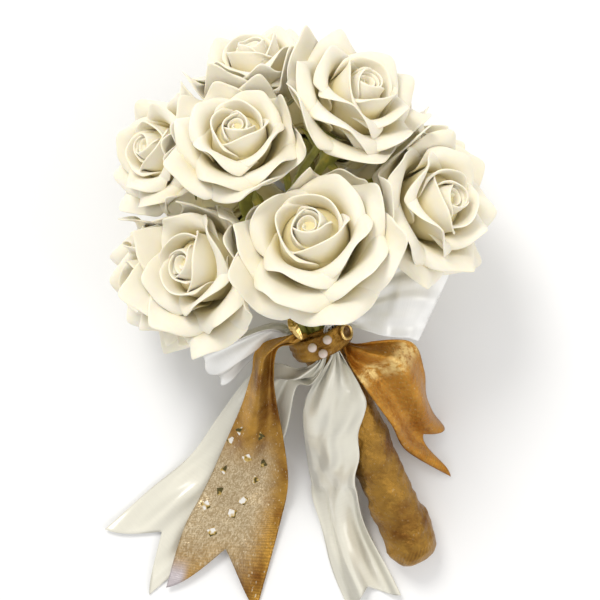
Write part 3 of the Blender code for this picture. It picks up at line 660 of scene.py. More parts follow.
def lay_grid(bm, points, name, places=None, finish=0):
    """Lay a bmesh grid over points[i][j] and give each point its place in the named UV map."""
    rows, columns = points.shape[:2]
    layer = bm.loops.layers.uv.get(name) or bm.loops.layers.uv.new(name)
    made = bmesh.ops.create_grid(bm, x_segments=rows - 1, y_segments=columns - 1, size=1.0)
    for vertex in made["verts"]:
        i = round((vertex.co.x + 1) / 2 * (rows - 1))
        j = round((vertex.co.y + 1) / 2 * (columns - 1))
        vertex.co = points[i, j]
        here = (i / (rows - 1), j / (columns - 1)) if places is None else places[i][j]
        for loop in vertex.link_loops:
            loop[layer].uv = here
            loop.face.material_index = finish
    return made["verts"]


def close_seams(bm, verts):
    """Merge a wrapped grid's meeting edges, fill its open ends and face it outwards."""
    bmesh.ops.remove_doubles(bm, verts=verts, dist=MM * 0.001)
    rims = [edge for edge in bm.edges if edge.is_boundary]
    if rims:
        bmesh.ops.holes_fill(bm, edges=rims, sides=0)
    bmesh.ops.recalc_face_normals(bm, faces=bm.faces)


def finished(name, bm, materials, node, thickness=0.0, rounding=0):
    """Make the piece that replaces a node.

    Thickness turns sheets into closed blades and rounding softens their edges.
    """
    mesh = bpy.data.meshes.new(name)
    bm.to_mesh(mesh)
    bm.free()
    for finish in materials:
        mesh.materials.append(finish)
    mesh.polygons.foreach_set("use_smooth", [face.material_index == 0 for face in mesh.polygons])
    piece = bpy.data.objects.new(name, mesh)
    bpy.context.scene.collection.objects.link(piece)
    if thickness:
        solid = piece.modifiers.new("thickness", "SOLIDIFY")
        solid.thickness = thickness
        solid.offset = 0.0
    if rounding:
        soft = piece.modifiers.new("rounding", "SUBSURF")
        soft.levels = rounding
        soft.render_levels = rounding
    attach(piece, "root")
    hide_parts(node)
    return piece


def shares_of(points):
    """How far each point of a grid lies along the grid's two ways, from 0 to 1."""
    rows, columns = points.shape[:2]
    return np.meshgrid(np.linspace(0, 1, rows), np.linspace(0, 1, columns), indexing="ij")


# Blooms

def rose_frame(rose):
    """The bloom's axis and two directions across it."""
    axis = unit(np.array(rose.facing))
    guide = np.array((0.0, 0.0, 1.0)) if abs(axis[2]) < UPRIGHT else np.array((0.0, 1.0, 0.0))
    first = unit(np.cross(guide, axis))
    return axis, first, np.cross(axis, first)


def under_bloom(rose, gap=0.0):
    """Where the bloom's petals start on its axis, or a gap below that."""
    return np.array(rose.centre) - rose_frame(rose)[0] * (BLOOM_HEIGHT * rose.size + gap)


def cell_middle(rose):
    return np.array(rose.centre) - unit(np.array(rose.facing)) * (CELL_DEPTH - rose.lift)


def cell_walls(rose):
    """The planes between this bloom and its neighbours and the surface: direction and reach along it."""
    own = cell_middle(rose)
    walls = [(np.array((0.0, 0.0, -1.0)), -FLOOR_LIFT)]
    if rose.name in BOW_WALLS:
        toward, reach = BOW_WALLS[rose.name]
        walls.append((np.array(toward), reach))
    for other in ROSES:
        gap = cell_middle(other) - own
        if other.name != rose.name and np.linalg.norm(gap) < CELL_REACH:
            toward = unit(gap)
            walls.append((toward, toward @ (own + gap / 2) - CLEARANCE / 2))
    return walls


def follow(start, steps, walls, axis, outward, margin):
    """Follow steps from the starts, bending up along any wall that they would cross."""
    points = [start]
    for step in steps:
        point = points[-1]
        for toward, reach in walls:
            free = smooth((reach - margin - point @ toward) / PRESS_SOFTNESS)
            blocked = np.maximum(0.0, step @ toward) * (1 - free)
            up = axis + outward * PRESS_OUTWARD
            up = unit(up - toward * (up @ toward))
            step = step + (up - toward) * blocked[:, None]
        point = point + step
        for toward, reach in walls * 2:
            over = np.maximum(0.0, point @ toward - (reach - margin))
            point = point - over[:, None] * toward
        points.append(point)
    return np.array(points)


def petal_surface(rose, row, index, walls, twist, draw, waviness):
    """The middle surface of one petal, points[i][j], in metres."""
    axis, first, second = rose_frame(rose)
    base = under_bloom(rose)
    azimuth = twist + row.turn + 2 * math.pi * index / row.count
    azimuth += draw.uniform(-PETAL_JITTER, PETAL_JITTER)
    outward = first * math.cos(azimuth) + second * math.sin(azimuth)
    u = np.linspace(-1.0, 1.0, PETAL_ACROSS + 1)
    reach = draw.uniform(*REACH_RANGE)
    curl = draw.uniform(*CURL_RANGE)
    fall = draw.uniform(-RIM_FALL, RIM_FALL) * smooth(row.rim_lean / 50)
    tip_place = draw.uniform(-TIP_SHIFT, TIP_SHIFT)
    sway = draw.uniform(-RIM_SWAY, RIM_SWAY)
    length = row.length * reach * (1 - SHOULDER_DROP * np.abs(u) ** SHOULDER_POWER)
    length += row.tip * np.maximum(0.0, 1 - np.abs(u - tip_place) / TIP_HALF_WIDTH)
    length *= rose.size
    radius = (row.root_radius + row.tuck * u) * rose.size
    height = np.full_like(u, row.root_height * rose.size)
    places = []
    for k in range(PETAL_STEPS + 1):
        v = k / PETAL_STEPS
        share = ROOT_SHARE + (1 - ROOT_SHARE) * math.sin(math.pi / 2 * min(1.0, v / FULL_WIDTH_AT))
        corner = max(0.0, (v - FULL_WIDTH_AT) / (1 - FULL_WIDTH_AT))
        across = u * row.width * rose.size / 2 * share * (1 - CORNER_NARROWING * corner * corner)
        bend = row.flatness * radius
        swing = np.clip(across / bend, -MOST_SWING, MOST_SWING)
        out = radius - bend * (1 - np.cos(swing))
        side = bend * np.sin(swing)
        x = out * math.cos(azimuth) - side * math.sin(azimuth)
        y = out * math.sin(azimuth) + side * math.cos(azimuth)
        places.append(base + np.outer(x, first) + np.outer(y, second) + np.outer(height, axis))
        edge = np.abs(u) ** EDGE_CURL_POWER * (1 + sway * np.sign(u))
        rim = row.rim_lean + fall + (row.edge_lean * curl - row.rim_lean) * edge
        angle = row.low_lean + (row.mid_lean - row.low_lean) * smooth(v / LEAN_EASE)
        angle = angle + (rim - row.mid_lean) * smooth((v - 1 + LEAN_EASE) / LEAN_EASE)
        angle = np.radians(angle)
        radius = radius + np.sin(angle) * length / PETAL_STEPS
        height = height + np.cos(angle) * length / PETAL_STEPS
    places = np.array(places)
    paths = follow(places[0], places[1:] - places[:-1], walls, axis, outward, WALL_MARGIN + row.inset)
    grid = paths[list(PETAL_ALONG)].transpose(1, 0, 2)
    normal = np.cross(np.gradient(grid, axis=0), np.gradient(grid, axis=1))
    v = np.array(PETAL_ALONG) / PETAL_STEPS
    wave = np.sin(u * draw.uniform(*WAVE_RANGE) + draw.uniform(0, 6.3))
    wave = np.outer(wave, smooth((v - WAVE_START) / (1 - WAVE_START)))
    grid = grid + unit(normal) * wave[:, :, None] * waviness / MM
    return in_metres(above_floor(grid))


def above_floor(points):
    """Press a sheet's points up to where its own thickness clears the floor."""
    points[..., 2] = np.maximum(points[..., 2], FLOOR_LIFT + FLOOR_MARGIN)
    return points


def bud_swirl(rose, twist):
    """The rolled sheet in the middle of the bud, points[i][j], in metres."""
    axis, first, second = rose_frame(rose)
    share = np.linspace(0, 1, SWIRL_STEPS + 1)[:, None, None]
    rise = np.linspace(0, 1, SWIRL_ROWS + 1)[None, :, None]
    turn = twist + 2 * math.pi * SWIRL_TURNS * share
    radius = SWIRL_RADII[0] + (SWIRL_RADII[1] - SWIRL_RADII[0]) * share ** 0.9
    radius = radius + SWIRL_FLARE * smooth((rise - 0.7) / 0.3) + SWIRL_SPREAD * rise
    height = SWIRL_HEIGHTS[0] + (SWIRL_HEIGHTS[1] - SWIRL_HEIGHTS[0]) * rise
    height = height - rise * (SWIRL_DIP * (1 - share) - SWIRL_WAVE * np.sin(turn * 2.0))
    across = first * np.cos(turn) + second * np.sin(turn)
    return in_metres(above_floor(under_bloom(rose) + (across * radius + axis * height) * rose.size))


def bud_heart(rose):
    """The foam ball that the petals are glued to, points[i][j], in metres."""
    axis, first, second = rose_frame(rose)
    turn = np.linspace(0, 2 * math.pi, HEART_SIDES + 1)[:, None, None]
    across = first * np.cos(turn) + second * np.sin(turn)
    height, radius = (np.array(values)[None, :, None] for values in zip(*HEART_PROFILE))
    return in_metres(above_floor(under_bloom(rose) + (axis * height + across * radius) * rose.size))


class BOUQUET_OT_blooms(bpy.types.Operator):
    """Thirteen open roses, each of five rows of foam petals round a rolled bud"""

    bl_idname = "bouquet.blooms"
    bl_label = "Foam roses"

    def execute(self, context):
        settings = context.scene.bouquet_roses
        foam = foam_material(settings)
        for rose in ROSES:
            draw = random.Random(f"{SEED} {rose.name}")
            twist = draw.uniform(0, 2 * math.pi)
            walls = cell_walls(rose)
            bm = bmesh.new()
            for row in PETAL_ROWS:
                for index in range(row.count):
                    surface = petal_surface(rose, row, index, walls, twist, draw, settings.waviness)
                    lay_grid(bm, surface, "petal")
            # The swirl runs up the same ramp: painted shade low down, paler at its top
            lay_grid(bm, bud_swirl(rose, twist), "petal")
            heart = bud_heart(rose)
            # The ball is painted in the crevice colour's shade
            deep = [[HEART_PAINTED_SHADE_PLACE] * heart.shape[1]] * heart.shape[0]
            ball = lay_grid(bm, heart, "petal", deep)
            bmesh.ops.remove_doubles(bm, verts=ball, dist=MM * 0.001)
            node = "rose_" + rose.name
            finished("bloom_" + rose.name, bm, [foam], node, settings.foam, rounding=1)
        return {"FINISHED"}


# Stems

def handle_frame():
    """Along the handle towards the blooms, up from the surface across it, and to the right across it."""
    along = unit(KNOT - HANDLE_END)
    up = np.array((0.0, 0.0, 1.0))
    up = unit(up - along * (up @ along))
    return along, up, np.cross(along, up)


def bundle_place(place):
    """A stem's place in the bundle: 0 in the middle, 1 to 6 round it, and 7 to 12 outside them."""
    _, up, right = handle_frame()
    if place == 0:
        return np.zeros(3)
    inner = place <= 6
    turn = math.pi / 3 * (place - 1) if inner else math.pi / 3 * (place - 7) + math.pi / 6
    radius = STEM_SPACING if inner else STEM_SPACING * math.sqrt(3)
    return (right * math.cos(turn) + up * math.sin(turn)) * radius


def bezier(points, t):
    a, b, c, d = points
    s = 1 - t
    return a * s ** 3 + b * 3 * s * s * t + c * 3 * s * t * t + d * t ** 3


def tube_surface(path, radii, sides):
    """Rings square to a path, closed on themselves, points[i][j] with i round the tube."""
    path = np.array(path)
    rings = []
    side = None
    for k, point in enumerate(path):
        heading = unit(path[min(k + 1, len(path) - 1)] - path[max(k - 1, 0)])
        if side is None:
            side = unit(np.cross(heading, (0.31, 0.52, 0.79)))
        side = unit(side - heading * (side @ heading))
        other = np.cross(heading, side)
        turns = np.linspace(0, 2 * math.pi, sides + 1)
        rings.append(point + (np.outer(np.cos(turns), side) + np.outer(np.sin(turns), other)) * radii[k])
    return np.array(rings).transpose(1, 0, 2)


def stem_line(rose):
    """The stem's path from its cup to the handle's end, with a radius at each point."""
    along, _, _ = handle_frame()
    axis, _, _ = rose_frame(rose)
    place = bundle_place(rose.place)
    top = under_bloom(rose, CLEARANCE)
    path = [top - axis * depth for depth, _ in CUP_RINGS]
    radii = [radius for _, radius in CUP_RINGS]
    start = path[-1]
    gather = KNOT + place + along * GATHER_ABOVE_KNOT
    span = np.linalg.norm(gather - start)
    curve = (start, start - axis * span * rose.leave, gather + along * span * rose.gather, gather)
    corners = [bezier(curve, k / STEM_CURVE_RINGS) for k in range(STEM_CURVE_RINGS + 1)]
    for before, after in zip(corners, corners[1:]):
        path += [before + (after - before) * share for share in (0.25, 0.5, 0.75, 1.0)]
        radii += [STEM_RADIUS] * 4
    path.append(HANDLE_END + place + along * STEM_END_GAP)
    radii.append(STEM_RADIUS)
    return path, radii


def sepal_surfaces(rose, walls):
    """The green sepals under a bloom: pointed, cupped along their middle and bent down at the tip."""
    axis, first, second = rose_frame(rose)
    top = under_bloom(rose, CLEARANCE)
    draw = random.Random(f"{SEED} stem {rose.name}")
    twist = draw.uniform(0, 2 * math.pi)
    sepals = []
    for k in range(SEPAL_COUNT):
        turn = twist + 2 * math.pi * k / SEPAL_COUNT
        outward = first * math.cos(turn) + second * math.sin(turn)
        sideways = np.cross(axis, outward)
        root = top - axis * SEPAL_ROOT_DEPTH + outward * SEPAL_ROOT_RADIUS
        angle = math.radians(SEPAL_LEAN)
        heading = outward * math.sin(angle) + axis * math.cos(angle)
        length = SEPAL_LENGTH
        for toward, reach in walls:
            room = max(0.0, reach - toward @ root - SEPAL_WIDTH / 2)
            approach = heading @ toward
            if approach > 0:
                length = min(length, room / approach)
        if length < SEPAL_SHORTEST:
            continue
        u = np.linspace(-1, 1, SEPAL_ACROSS)[:, None, None]
        share = np.linspace(0, 1, SEPAL_ALONG)[None, :, None]
        width = SEPAL_WIDTH / 2 * (0.5 + 0.5 * np.sin(math.pi * np.minimum(1.0, share * 1.1)))
        width = width * np.maximum(SEPAL_TIP_WIDTH, 1 - share ** 3)
        lift = SEPAL_CUPPING * u * u - SEPAL_DROOP * share * share
        sepals.append(in_metres(root + heading * length * share + sideways * u * width + axis * lift))
    return sepals


class BOUQUET_OT_stems(bpy.types.Operator):
    """A green stem under each bloom, with its calyx cup and sepals"""

    bl_idname = "bouquet.stems"
    bl_label = "Stems and sepals"

    def execute(self, context):
        green = green_material(context.scene.bouquet_trim.green)
        for rose in ROSES:
            path, radii = stem_line(rose)
            bm = bmesh.new()
            tube = lay_grid(bm, in_metres(tube_surface(path, radii, STEM_SIDES)), "leaf")
            close_seams(bm, tube)
            for surface in sepal_surfaces(rose, cell_walls(rose)):
                verts = lay_grid(bm, surface, "leaf")
                faces = list({face for vertex in verts for face in vertex.link_faces})
                bmesh.ops.solidify(bm, geom=faces, thickness=SEPAL_THICKNESS * MM)
            finished("stalk_" + rose.name, bm, [green], "stem_" + rose.name)
        return {"FINISHED"}


# Ribbons

def knot_direction(degrees):
    """Out from the handle's axis, by an angle to the left of its top, and round it to the right."""
    _, up, right = handle_frame()
    turn = math.radians(degrees)
    return up * math.cos(turn) - right * math.sin(turn), right * math.cos(turn) + up * math.sin(turn)


def root_station(turn, reach):
    """A ribbon's gathered end on the handle, by how far it lies along it from the knot's middle."""
    along, _, _ = handle_frame()
    outward, across = knot_direction(turn)
    middle = KNOT + outward * ROOT_RADIUS + along * reach
    half = across * ROOT_WIDTH / 2
    return Station(middle - half, middle + half, ROOT_BOW)


def spline(points, share):
    """A smooth curve through the points, from the first at 0 to the last at 1, for an array of shares."""
    points = np.array(points, dtype=float)
    place = np.clip(share, 0.0, 1.0) * (len(points) - 1)
    k = np.minimum(place.astype(int), len(points) - 2)
    t = (place - k)[..., None] if points.ndim > 1 else place - k
    a = points[np.maximum(k - 1, 0)]
    b = points[k]
    c = points[k + 1]
    d = points[np.minimum(k + 2, len(points) - 1)]
    bend = (2 * a - 5 * b + 4 * c - d) * t * t + (3 * b - a - 3 * c + d) * t ** 3
    return b + ((c - a) * t + bend) / 2


def ribbon_surface(stations, cut, loop):
    """A ribbon's middle surface with its pleats, and each point's place on the flat ribbon in metres."""
    lefts, rights, bows = zip(*stations)
    u = np.linspace(-1.0, 1.0, RIBBON_ACROSS + 1)[:, None]
    share = np.linspace(0.0, 1.0, RIBBON_ALONG + 1)[None, :] * (1 - cut.notch * (1 - np.abs(u)))
    ahead = np.minimum(1.0, share + SLOPE_STEP)
    behind = np.maximum(0.0, share - SLOPE_STEP)
    left = spline(lefts, share)
    right = spline(rights, share)
    forward = spline(lefts, ahead) - spline(lefts, behind) + spline(rights, ahead) - spline(rights, behind)
    normal = unit(np.cross(forward, right - left))
    bow = spline(bows, share) * (1 - u * u)
    points = left + (right - left) * ((u + 1) / 2)[..., None]
    from_root = np.minimum(share, 1 - share) if loop else share
    chord = np.linalg.norm(right - left, axis=-1)
    spare = np.sqrt(np.maximum(0.0, cut.width ** 2 - chord ** 2)) / 4 * PLEAT_FILL
    open_out = smooth((from_root - cut.reach) / FOLD_FADE)
    most = PLEAT_UNDER_BAND + (PLEAT_HEIGHT - PLEAT_UNDER_BAND) * smooth(
        (from_root - UNDER_BAND_SHARE) / UNDER_BAND_FADE
    )
    shift = u + cut.drift * from_root
    pleat = np.minimum(spare / cut.pleats, most) * np.cos(math.pi * cut.pleats * shift)
    fold = np.minimum(spare / cut.folds, cut.height) * np.cos(math.pi * cut.folds * shift)
    points = points + normal * (bow + pleat * (1 - open_out) + fold * open_out)[..., None]
    points[..., 2] = np.maximum(points[..., 2], RIBBON_LIFT + FLOOR_LIFT)
    places = np.stack(np.broadcast_arrays((u + 1) / 2 * cut.width * MM, share * cut.length * MM), axis=-1)
    return points, places, normal


def tail_stations(name, stations, side):
    turn = ROOT_TURN[name]
    edge = side * (BAND_HALF_WIDTH + BAND_CLEAR)
    return (root_station(turn, side * ROOT_START), root_station(turn, edge)) + stations


def loop_stations(side, stations):
    front = ROOT_TURN[f"loop_{side}_front"]
    back = ROOT_TURN[f"loop_{side}_back"]
    above = BAND_HALF_WIDTH + BAND_CLEAR
    start = (root_station(front, ROOT_START), root_station(front, above))
    end = (root_station(back, above), root_station(back, ROOT_START))
    return start + stations + end


def make_ribbon(name, stations, finish, settings, loop=False, sequins=None):
    """One length of ribbon as a cut sheet of cloth, standing for its solid."""
    cut = CUTS[name]
    points, places, normal = ribbon_surface(stations, cut, loop)
    bm = bmesh.new()
    lay_grid(bm, in_metres(points), "ribbon", places)
    materials = [finish]
    if sequins:
        materials.append(sequins)
        scatter_sequins(bm, name, points, normal, settings)
    ribbon = finished("ribbon_" + name, bm, materials, name, settings.thickness)


def scatter_sequins(bm, name, points, normal, settings):
    """Square sequins on a ribbon's upper side, seeded, none too near another."""
    draw = random.Random(f"{SEED} sequins {name}")
    half = settings.sequin / 2 / MM
    rows, columns = points.shape[:2]
    chosen = []
    for _ in range(settings.sequin_count * SEQUIN_TRIES):
        i = draw.randrange(3, rows * 3 // 4)
        j = draw.randrange(columns * 13 // 20, columns - 4)
        spot = points[i, j]
        if len(chosen) < settings.sequin_count and all(
            np.linalg.norm(spot - other) > half * SEQUIN_SPACING for other in chosen
        ):
            chosen.append(spot)
            face = normal[i, j] if normal[i, j][2] > 0 else -normal[i, j]
            along = unit(points[i, j + 1] - points[i, j - 1])
            along = unit(along - face * (along @ face))
            across = np.cross(face, along)
            turn = draw.uniform(0, math.pi / 2)
            first = along * math.cos(turn) + across * math.sin(turn)
            second = across * math.cos(turn) - along * math.sin(turn)
            tilt = draw.uniform(-SEQUIN_TILT, SEQUIN_TILT)
            middle = spot + face * SEQUIN_LIFT
            corners = np.array([
                [middle + (first * a + second * b) * half + face * tilt * a * half for b in (-1, 1)]
                for a in (-1, 1)
            ])
            lay_grid(bm, in_metres(corners), "ribbon", finish=1)


class BOUQUET_OT_satin(bpy.types.Operator):
    """The ivory satin bow: two loops and two swallowtailed tails"""

    bl_idname = "bouquet.satin"
    bl_label = "Satin bow"

    def execute(self, context):
        settings = context.scene.bouquet_ribbons
        satin = satin_material(settings)
        # The loops get a paler copy of the same satin: painted light, so they read as brightly lit
        satin_painted_lit = satin_material(settings, "satin_ivory_loops", painted_light_share=0.75)
        for name, stations in (
            ("satin_tail_left", SATIN_TAIL_LEFT), ("satin_tail_centre", SATIN_TAIL_CENTRE),
        ):
            make_ribbon(name, tail_stations(name, stations, -1), satin, settings)
        for side, stations in (("right", SATIN_LOOP_RIGHT), ("left", SATIN_LOOP_LEFT)):
            whole = loop_stations(side, stations)
            make_ribbon(f"satin_loop_{side}", whole, satin_painted_lit, settings, loop=True)
        return {"FINISHED"}


class BOUQUET_OT_gold_tails(bpy.types.Operator):
    """Two swallowtailed gold ribbons, one strewn with square sequins, one woven as a net"""

    bl_idname = "bouquet.gold_tails"
    bl_label = "Gold ribbon tails"

    def execute(self, context):
        settings = context.scene.bouquet_ribbons
        # The left tail's material carries painted reflection: a silvery sheen and a pale corner
        plain = gold_ribbon_material(settings, silver_sheen_painted=True)
        netted = gold_ribbon_material(
            settings, "gold_net", net=190.0, glitter_share=0.25, depth=1.1, creasing=1.8,
        )
        sequins = sequin_material()
        left = tail_stations("gold_tail_left", GOLD_TAIL_LEFT, 1)
        make_ribbon("gold_tail_left", left, plain, settings, sequins=sequins)
        right = tail_stations("gold_tail_right", GOLD_TAIL_RIGHT, -1)
        make_ribbon("gold_tail_right", right, netted, settings)
        return {"FINISHED"}


# Handle and knot

def wrap_radius(distance, turn):
    """The wound ribbon's outer radius, by distance below the knot and angle round the handle."""
    length = np.linalg.norm(KNOT - HANDLE_END)
    share = distance / length
    radius = WRAP_NECK_RADIUS + (WRAP_RADIUS - WRAP_NECK_RADIUS) * smooth(share / WRAP_NECK_SHARE)
    radius += WRAP_END_SWELL * smooth((share - 1 + WRAP_SWELL_SHARE) / WRAP_SWELL_SHARE)
    lap = (distance / WRAP_PITCH + turn / (2 * math.pi)) % 1.0
    edge = WRAP_LAP * (1 - smooth(lap / WRAP_LAP_SHARE))
    edge = edge - WRAP_EDGE * (1 - smooth(lap / WRAP_EDGE_SHARE)) - WRAP_SINK
    place = Vector((
        math.cos(turn) * WRAP_CREASE_ROUND,
        math.sin(turn) * WRAP_CREASE_ROUND,
        distance * WRAP_CREASE_ALONG + math.sin(turn) * WRAP_CREASE_SLANT,
    ))
    wrinkle = WRAP_WRINKLE * abs(noise.noise(place * WRAP_WRINKLE_RATE))
    crease = WRAP_CREASE * noise.noise(place) + wrinkle - WRAP_CREASE_SINK
    return radius + (edge + crease) * smooth(share / WRAP_NECK_SHARE)


def wound_piece(name, rows, finish, node, spread):
    """Close a grid that wraps round; spread lays its shares out flat, in metres."""
    points = np.array(rows)
    points[-1] = points[0]
    points[..., 2] = np.maximum(points[..., 2], 0.0)
    places = np.stack(spread(*shares_of(points)), axis=-1)
    bm = bmesh.new()
    close_seams(bm, lay_grid(bm, in_metres(points), "ribbon", places))
    finished(name, bm, [finish], node)


def handle_wrap(gold):
    along, up, right = handle_frame()
    length = np.linalg.norm(KNOT - HANDLE_END)
    distances = np.linspace(-WRAP_ABOVE_KNOT, length, WRAP_ALONG + 1)
    rows = []
    for turn in np.linspace(0, 2 * math.pi, WRAP_AROUND + 1):
        outward = up * math.cos(turn) + right * math.sin(turn)
        radii = [wrap_radius(max(0.0, distance), turn % (2 * math.pi)) for distance in distances]
        line = [(WRAP_FLOOR - length, WRAP_BORE), (WRAP_ABOVE_KNOT, WRAP_BORE), *zip(-distances, radii)]
        for depth, share in WRAP_END:
            fold = 1 + WRAP_END_FOLD * math.sin(turn * WRAP_END_FOLDS + depth * WRAP_END_TWIST)
            line.append((-length - depth, radii[-1] * share * fold))
        rows.append([KNOT + along * reach + outward * radius for reach, radius in line])
    wound_piece(
        "wrap_gold", rows, gold, "handle_wrap",
        lambda i, j: (i * WRAP_GIRTH, j * WRAP_COURSE + i * WRAP_SLANT),
    )


def knot_band(gold):
    """The band's outer side rises in the middle, with pleats along it that drift round the knot."""
    along, up, _ = handle_frame()
    rows = []
    for step in range(BAND_AROUND + 1):
        turn = 360 * (step % BAND_AROUND) / BAND_AROUND
        outward, _ = knot_direction(turn)
        drift = BAND_DRIFT * math.sin(math.radians(turn * 2))
        line = []
        for reach in np.linspace(-BAND_HALF_WIDTH, BAND_HALF_WIDTH, BAND_ACROSS + 1):
            edge = (reach / BAND_HALF_WIDTH) ** 2
            pleat = BAND_PLEAT * math.sin(reach * BAND_PLEAT_RATE + drift) * (1 - edge)
            line.append((reach, BAND_BORE + BAND_WALL + pleat + BAND_RISE - BAND_ROUNDING * edge ** 3))
        line += [(BAND_HALF_WIDTH, BAND_BORE), (-BAND_HALF_WIDTH, BAND_BORE), line[0]]
        rows.append([KNOT + up * BAND_SHIFT + along * reach + outward * radius for reach, radius in line])
    wound_piece(
        "band_gold", rows, gold, "knot_band", lambda i, j: (j * BAND_GIRTH, i * BAND_COURSE),
    )


class BOUQUET_OT_handle(bpy.types.Operator):
    """The gold ribbon wound round the stems, with its folded end, and the gathered band of the knot"""

    bl_idname = "bouquet.handle"
    bl_label = "Handle wrap and knot band"

    def execute(self, context):
        settings = context.scene.bouquet_ribbons
        gold = gold_ribbon_material(settings, "gold_wrap", glitter_share=0.12, depth=0.8, creasing=3.0)
        handle_wrap(gold)
        knot_band(gold)
        return {"FINISHED"}


def curled_leaf(metal):
    """The curled leaf: pointed at both ends, with a raised midrib."""
    u = np.linspace(-1, 1, LEAF_ACROSS)[:, None]
    share = np.linspace(0, 1, LEAF_ALONG)[None, :] * np.ones_like(u)
    left, right, bow = (spline(values, share) for values in zip(*LEAF))
    outline = np.maximum(LEAF_TIP_WIDTH, np.sin(math.pi * np.clip(share * 0.94 + 0.03, 0, 1)) ** 0.6)
    points = (left + right) / 2 + (right - left) / 2 * (u * outline)[..., None]
    midrib = LEAF_RIB * np.exp(-(u * LEAF_RIB_NARROWNESS) ** 2)
    veins = LEAF_VEINS * np.cos(share * LEAF_VEIN_RATE + np.abs(u) * LEAF_VEIN_SLANT)
    points[..., 2] += bow * (1 - u * u) + midrib + veins
    bm = bmesh.new()
    lay_grid(bm, in_metres(points), "trim")
    finished("leaf_curl", bm, [metal], "gold_leaf", LEAF_THICKNESS * MM)


def wire_ring(metal, surface):
    along, _, _ = handle_frame()
    outward, across = knot_direction(RING_TURN)
    centre = KNOT + outward * (surface + RING_WIRE + RING_LIFT) + along * RING_REACH
    rows = []
    for m in range(RING_SIDES + 1):
        angle = 2 * math.pi * (m % RING_SIDES) / RING_SIDES
        line = []
        for k in range(RING_STEPS + 1):
            turn = 2 * math.pi * (k % RING_STEPS) / RING_STEPS
            radial = across * math.cos(turn) + along * math.sin(turn)
            wire = radial * math.cos(angle) + outward * math.sin(angle)
            line.append(centre + radial * RING_RADIUS + wire * RING_WIRE)
        rows.append(line)
    bm = bmesh.new()
    close_seams(bm, lay_grid(bm, in_metres(np.array(rows)), "trim"))
    finished("wire_ring", bm, [metal], "gold_ring")


class BOUQUET_OT_ornaments(bpy.types.Operator):
    """Three pearl beads, a curled gold leaf and a small gold ring on the knot"""

    bl_idname = "bouquet.ornaments"
    bl_label = "Knot ornaments"

    def execute(self, context):
        settings = context.scene.bouquet_trim
        pearl = pearl_material(settings.pearl)
        metal = metal_material(settings.metal)
        along, _, _ = handle_frame()
        surface = BAND_BORE + BAND_WALL + BAND_SHIFT + CLEARANCE
        for index, (turn, reach) in enumerate(BEADS):
            outward, _ = knot_direction(turn)
            centre = KNOT + outward * (surface + BEAD_RADIUS) + along * reach
            bm = bmesh.new()
            bmesh.ops.create_icosphere(bm, subdivisions=4, radius=BEAD_RADIUS * MM)
            bmesh.ops.translate(bm, verts=bm.verts, vec=Vector(in_metres(centre)))
            finished(f"pearl_{index + 1}", bm, [pearl], f"pearl_bead_{index + 1}")
        curled_leaf(metal)
        wire_ring(metal, surface)
        return {"FINISHED"}


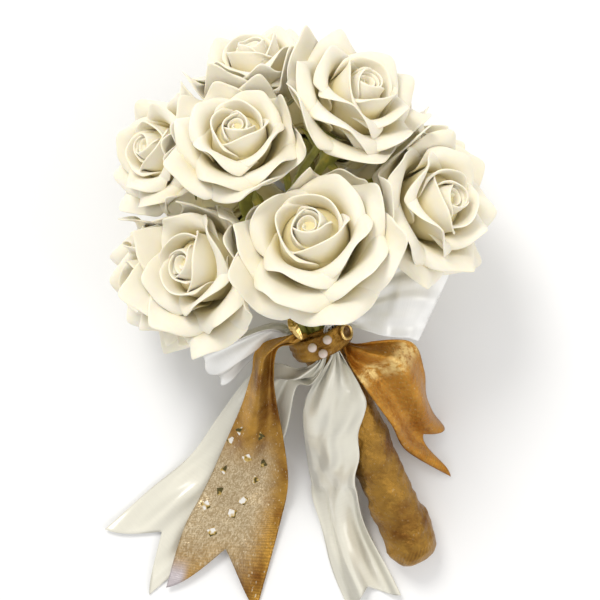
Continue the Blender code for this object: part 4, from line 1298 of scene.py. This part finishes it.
class BOUQUET_OT_stage(bpy.types.Operator):
    """Pale floor, soft studio light and the camera straight above"""

    bl_idname = "bouquet.stage"
    bl_label = "Stage and camera"

    def execute(self, context):
        scene = context.scene
        settings = scene.bouquet_stage
        finish = Finish("floor_pale")
        speckle = finish.noise(9.0, 2.0)
        tone = finish.ramp(speckle, (0.3, shade(settings.floor, 0.995)), (0.7, settings.floor))
        bm = bmesh.new()
        bmesh.ops.create_grid(bm, x_segments=1, y_segments=1, size=FLOOR_SIZE)
        bmesh.ops.translate(bm, verts=bm.verts, vec=(0.0, 0.0, -FLOOR_DROP))
        mesh = bpy.data.meshes.new("floor")
        bm.to_mesh(mesh)
        bm.free()
        mesh.materials.append(finish.shaded(tone, Roughness=0.9, Specular_IOR_Level=0.1))
        floor = bpy.data.objects.new("floor", mesh)
        scene.collection.objects.link(floor)
        self.light("key_light", (-0.45, 0.85, 1.3), 0.55, settings.key, (1.0, 0.985, 0.95))
        self.light("fill_light", (0.9, -0.35, 0.9), 0.8, settings.fill, (1.0, 0.97, 0.93))
        scene.world = bpy.data.worlds.new("studio")
        scene.world.use_nodes = True
        background = scene.world.node_tree.nodes["Background"]
        background.inputs["Color"].default_value = (1.0, 1.0, 1.0, 1.0)
        background.inputs["Strength"].default_value = settings.sky
        scene.view_settings.view_transform = "Standard"
        view = bpy.data.cameras.new("photo_view")
        view.lens = CAMERA_LENS
        view.sensor_width = SENSOR_WIDTH
        view.clip_start = CAMERA_CLIP
        camera = bpy.data.objects.new("photo_view", view)
        camera.location = (-ORIGIN[0] * MM, -ORIGIN[1] * MM, CAMERA_HEIGHT)
        scene.collection.objects.link(camera)
        scene.camera = camera
        return {"FINISHED"}

    def light(self, name, place, size, power, colour):
        """A soft disk lamp aimed at the bouquet."""
        lamp = bpy.data.lights.new(name, "AREA")
        lamp.shape = "DISK"
        lamp.size = size
        lamp.energy = power
        lamp.color = colour
        made = bpy.data.objects.new(name, lamp)
        made.location = place
        made.rotation_euler = (LIGHT_AIM - Vector(place)).to_track_quat("-Z", "Y").to_euler()
        bpy.context.scene.collection.objects.link(made)


class BOUQUET_PT_panel(bpy.types.Panel):
    """Lists the bouquet's pieces and their settings"""

    bl_idname = "BOUQUET_PT_panel"
    bl_label = "Bouquet"
    bl_space_type = "VIEW_3D"
    bl_region_type = "UI"
    bl_category = "Bouquet"

    def draw(self, context):
        for group, (kind, operators) in SETTINGS.items():
            box = self.layout.box()
            for value in kind.__annotations__:
                box.prop(getattr(context.scene, group), value)
            for operator in operators:
                box.operator("bouquet." + operator)


SETTINGS = {
    "bouquet_roses": (FoamRoseSettings, ("blooms",)),
    "bouquet_trim": (TrimSettings, ("stems", "ornaments")),
    "bouquet_ribbons": (RibbonSettings, ("satin", "gold_tails", "handle")),
    "bouquet_stage": (StageSettings, ("stage",)),
}
CLASSES = (
    *(kind for kind, _ in SETTINGS.values()),
    BOUQUET_OT_blooms,
    BOUQUET_OT_stems,
    BOUQUET_OT_handle,
    BOUQUET_OT_satin,
    BOUQUET_OT_gold_tails,
    BOUQUET_OT_ornaments,
    BOUQUET_OT_stage,
    BOUQUET_PT_panel,
)


def register():
    for kind in CLASSES:
        bpy.utils.register_class(kind)
    for name, (kind, _) in SETTINGS.items():
        setattr(bpy.types.Scene, name, PointerProperty(type=kind))


def unregister():
    for name in SETTINGS:
        delattr(bpy.types.Scene, name)
    for kind in reversed(CLASSES):
        bpy.utils.unregister_class(kind)


def main():
    register()
    bpy.ops.bouquet.blooms()
    bpy.ops.bouquet.stems()
    bpy.ops.bouquet.handle()
    bpy.ops.bouquet.satin()
    bpy.ops.bouquet.gold_tails()
    bpy.ops.bouquet.ornaments()
    bpy.ops.bouquet.stage()


if __name__ == "__main__":
    main()
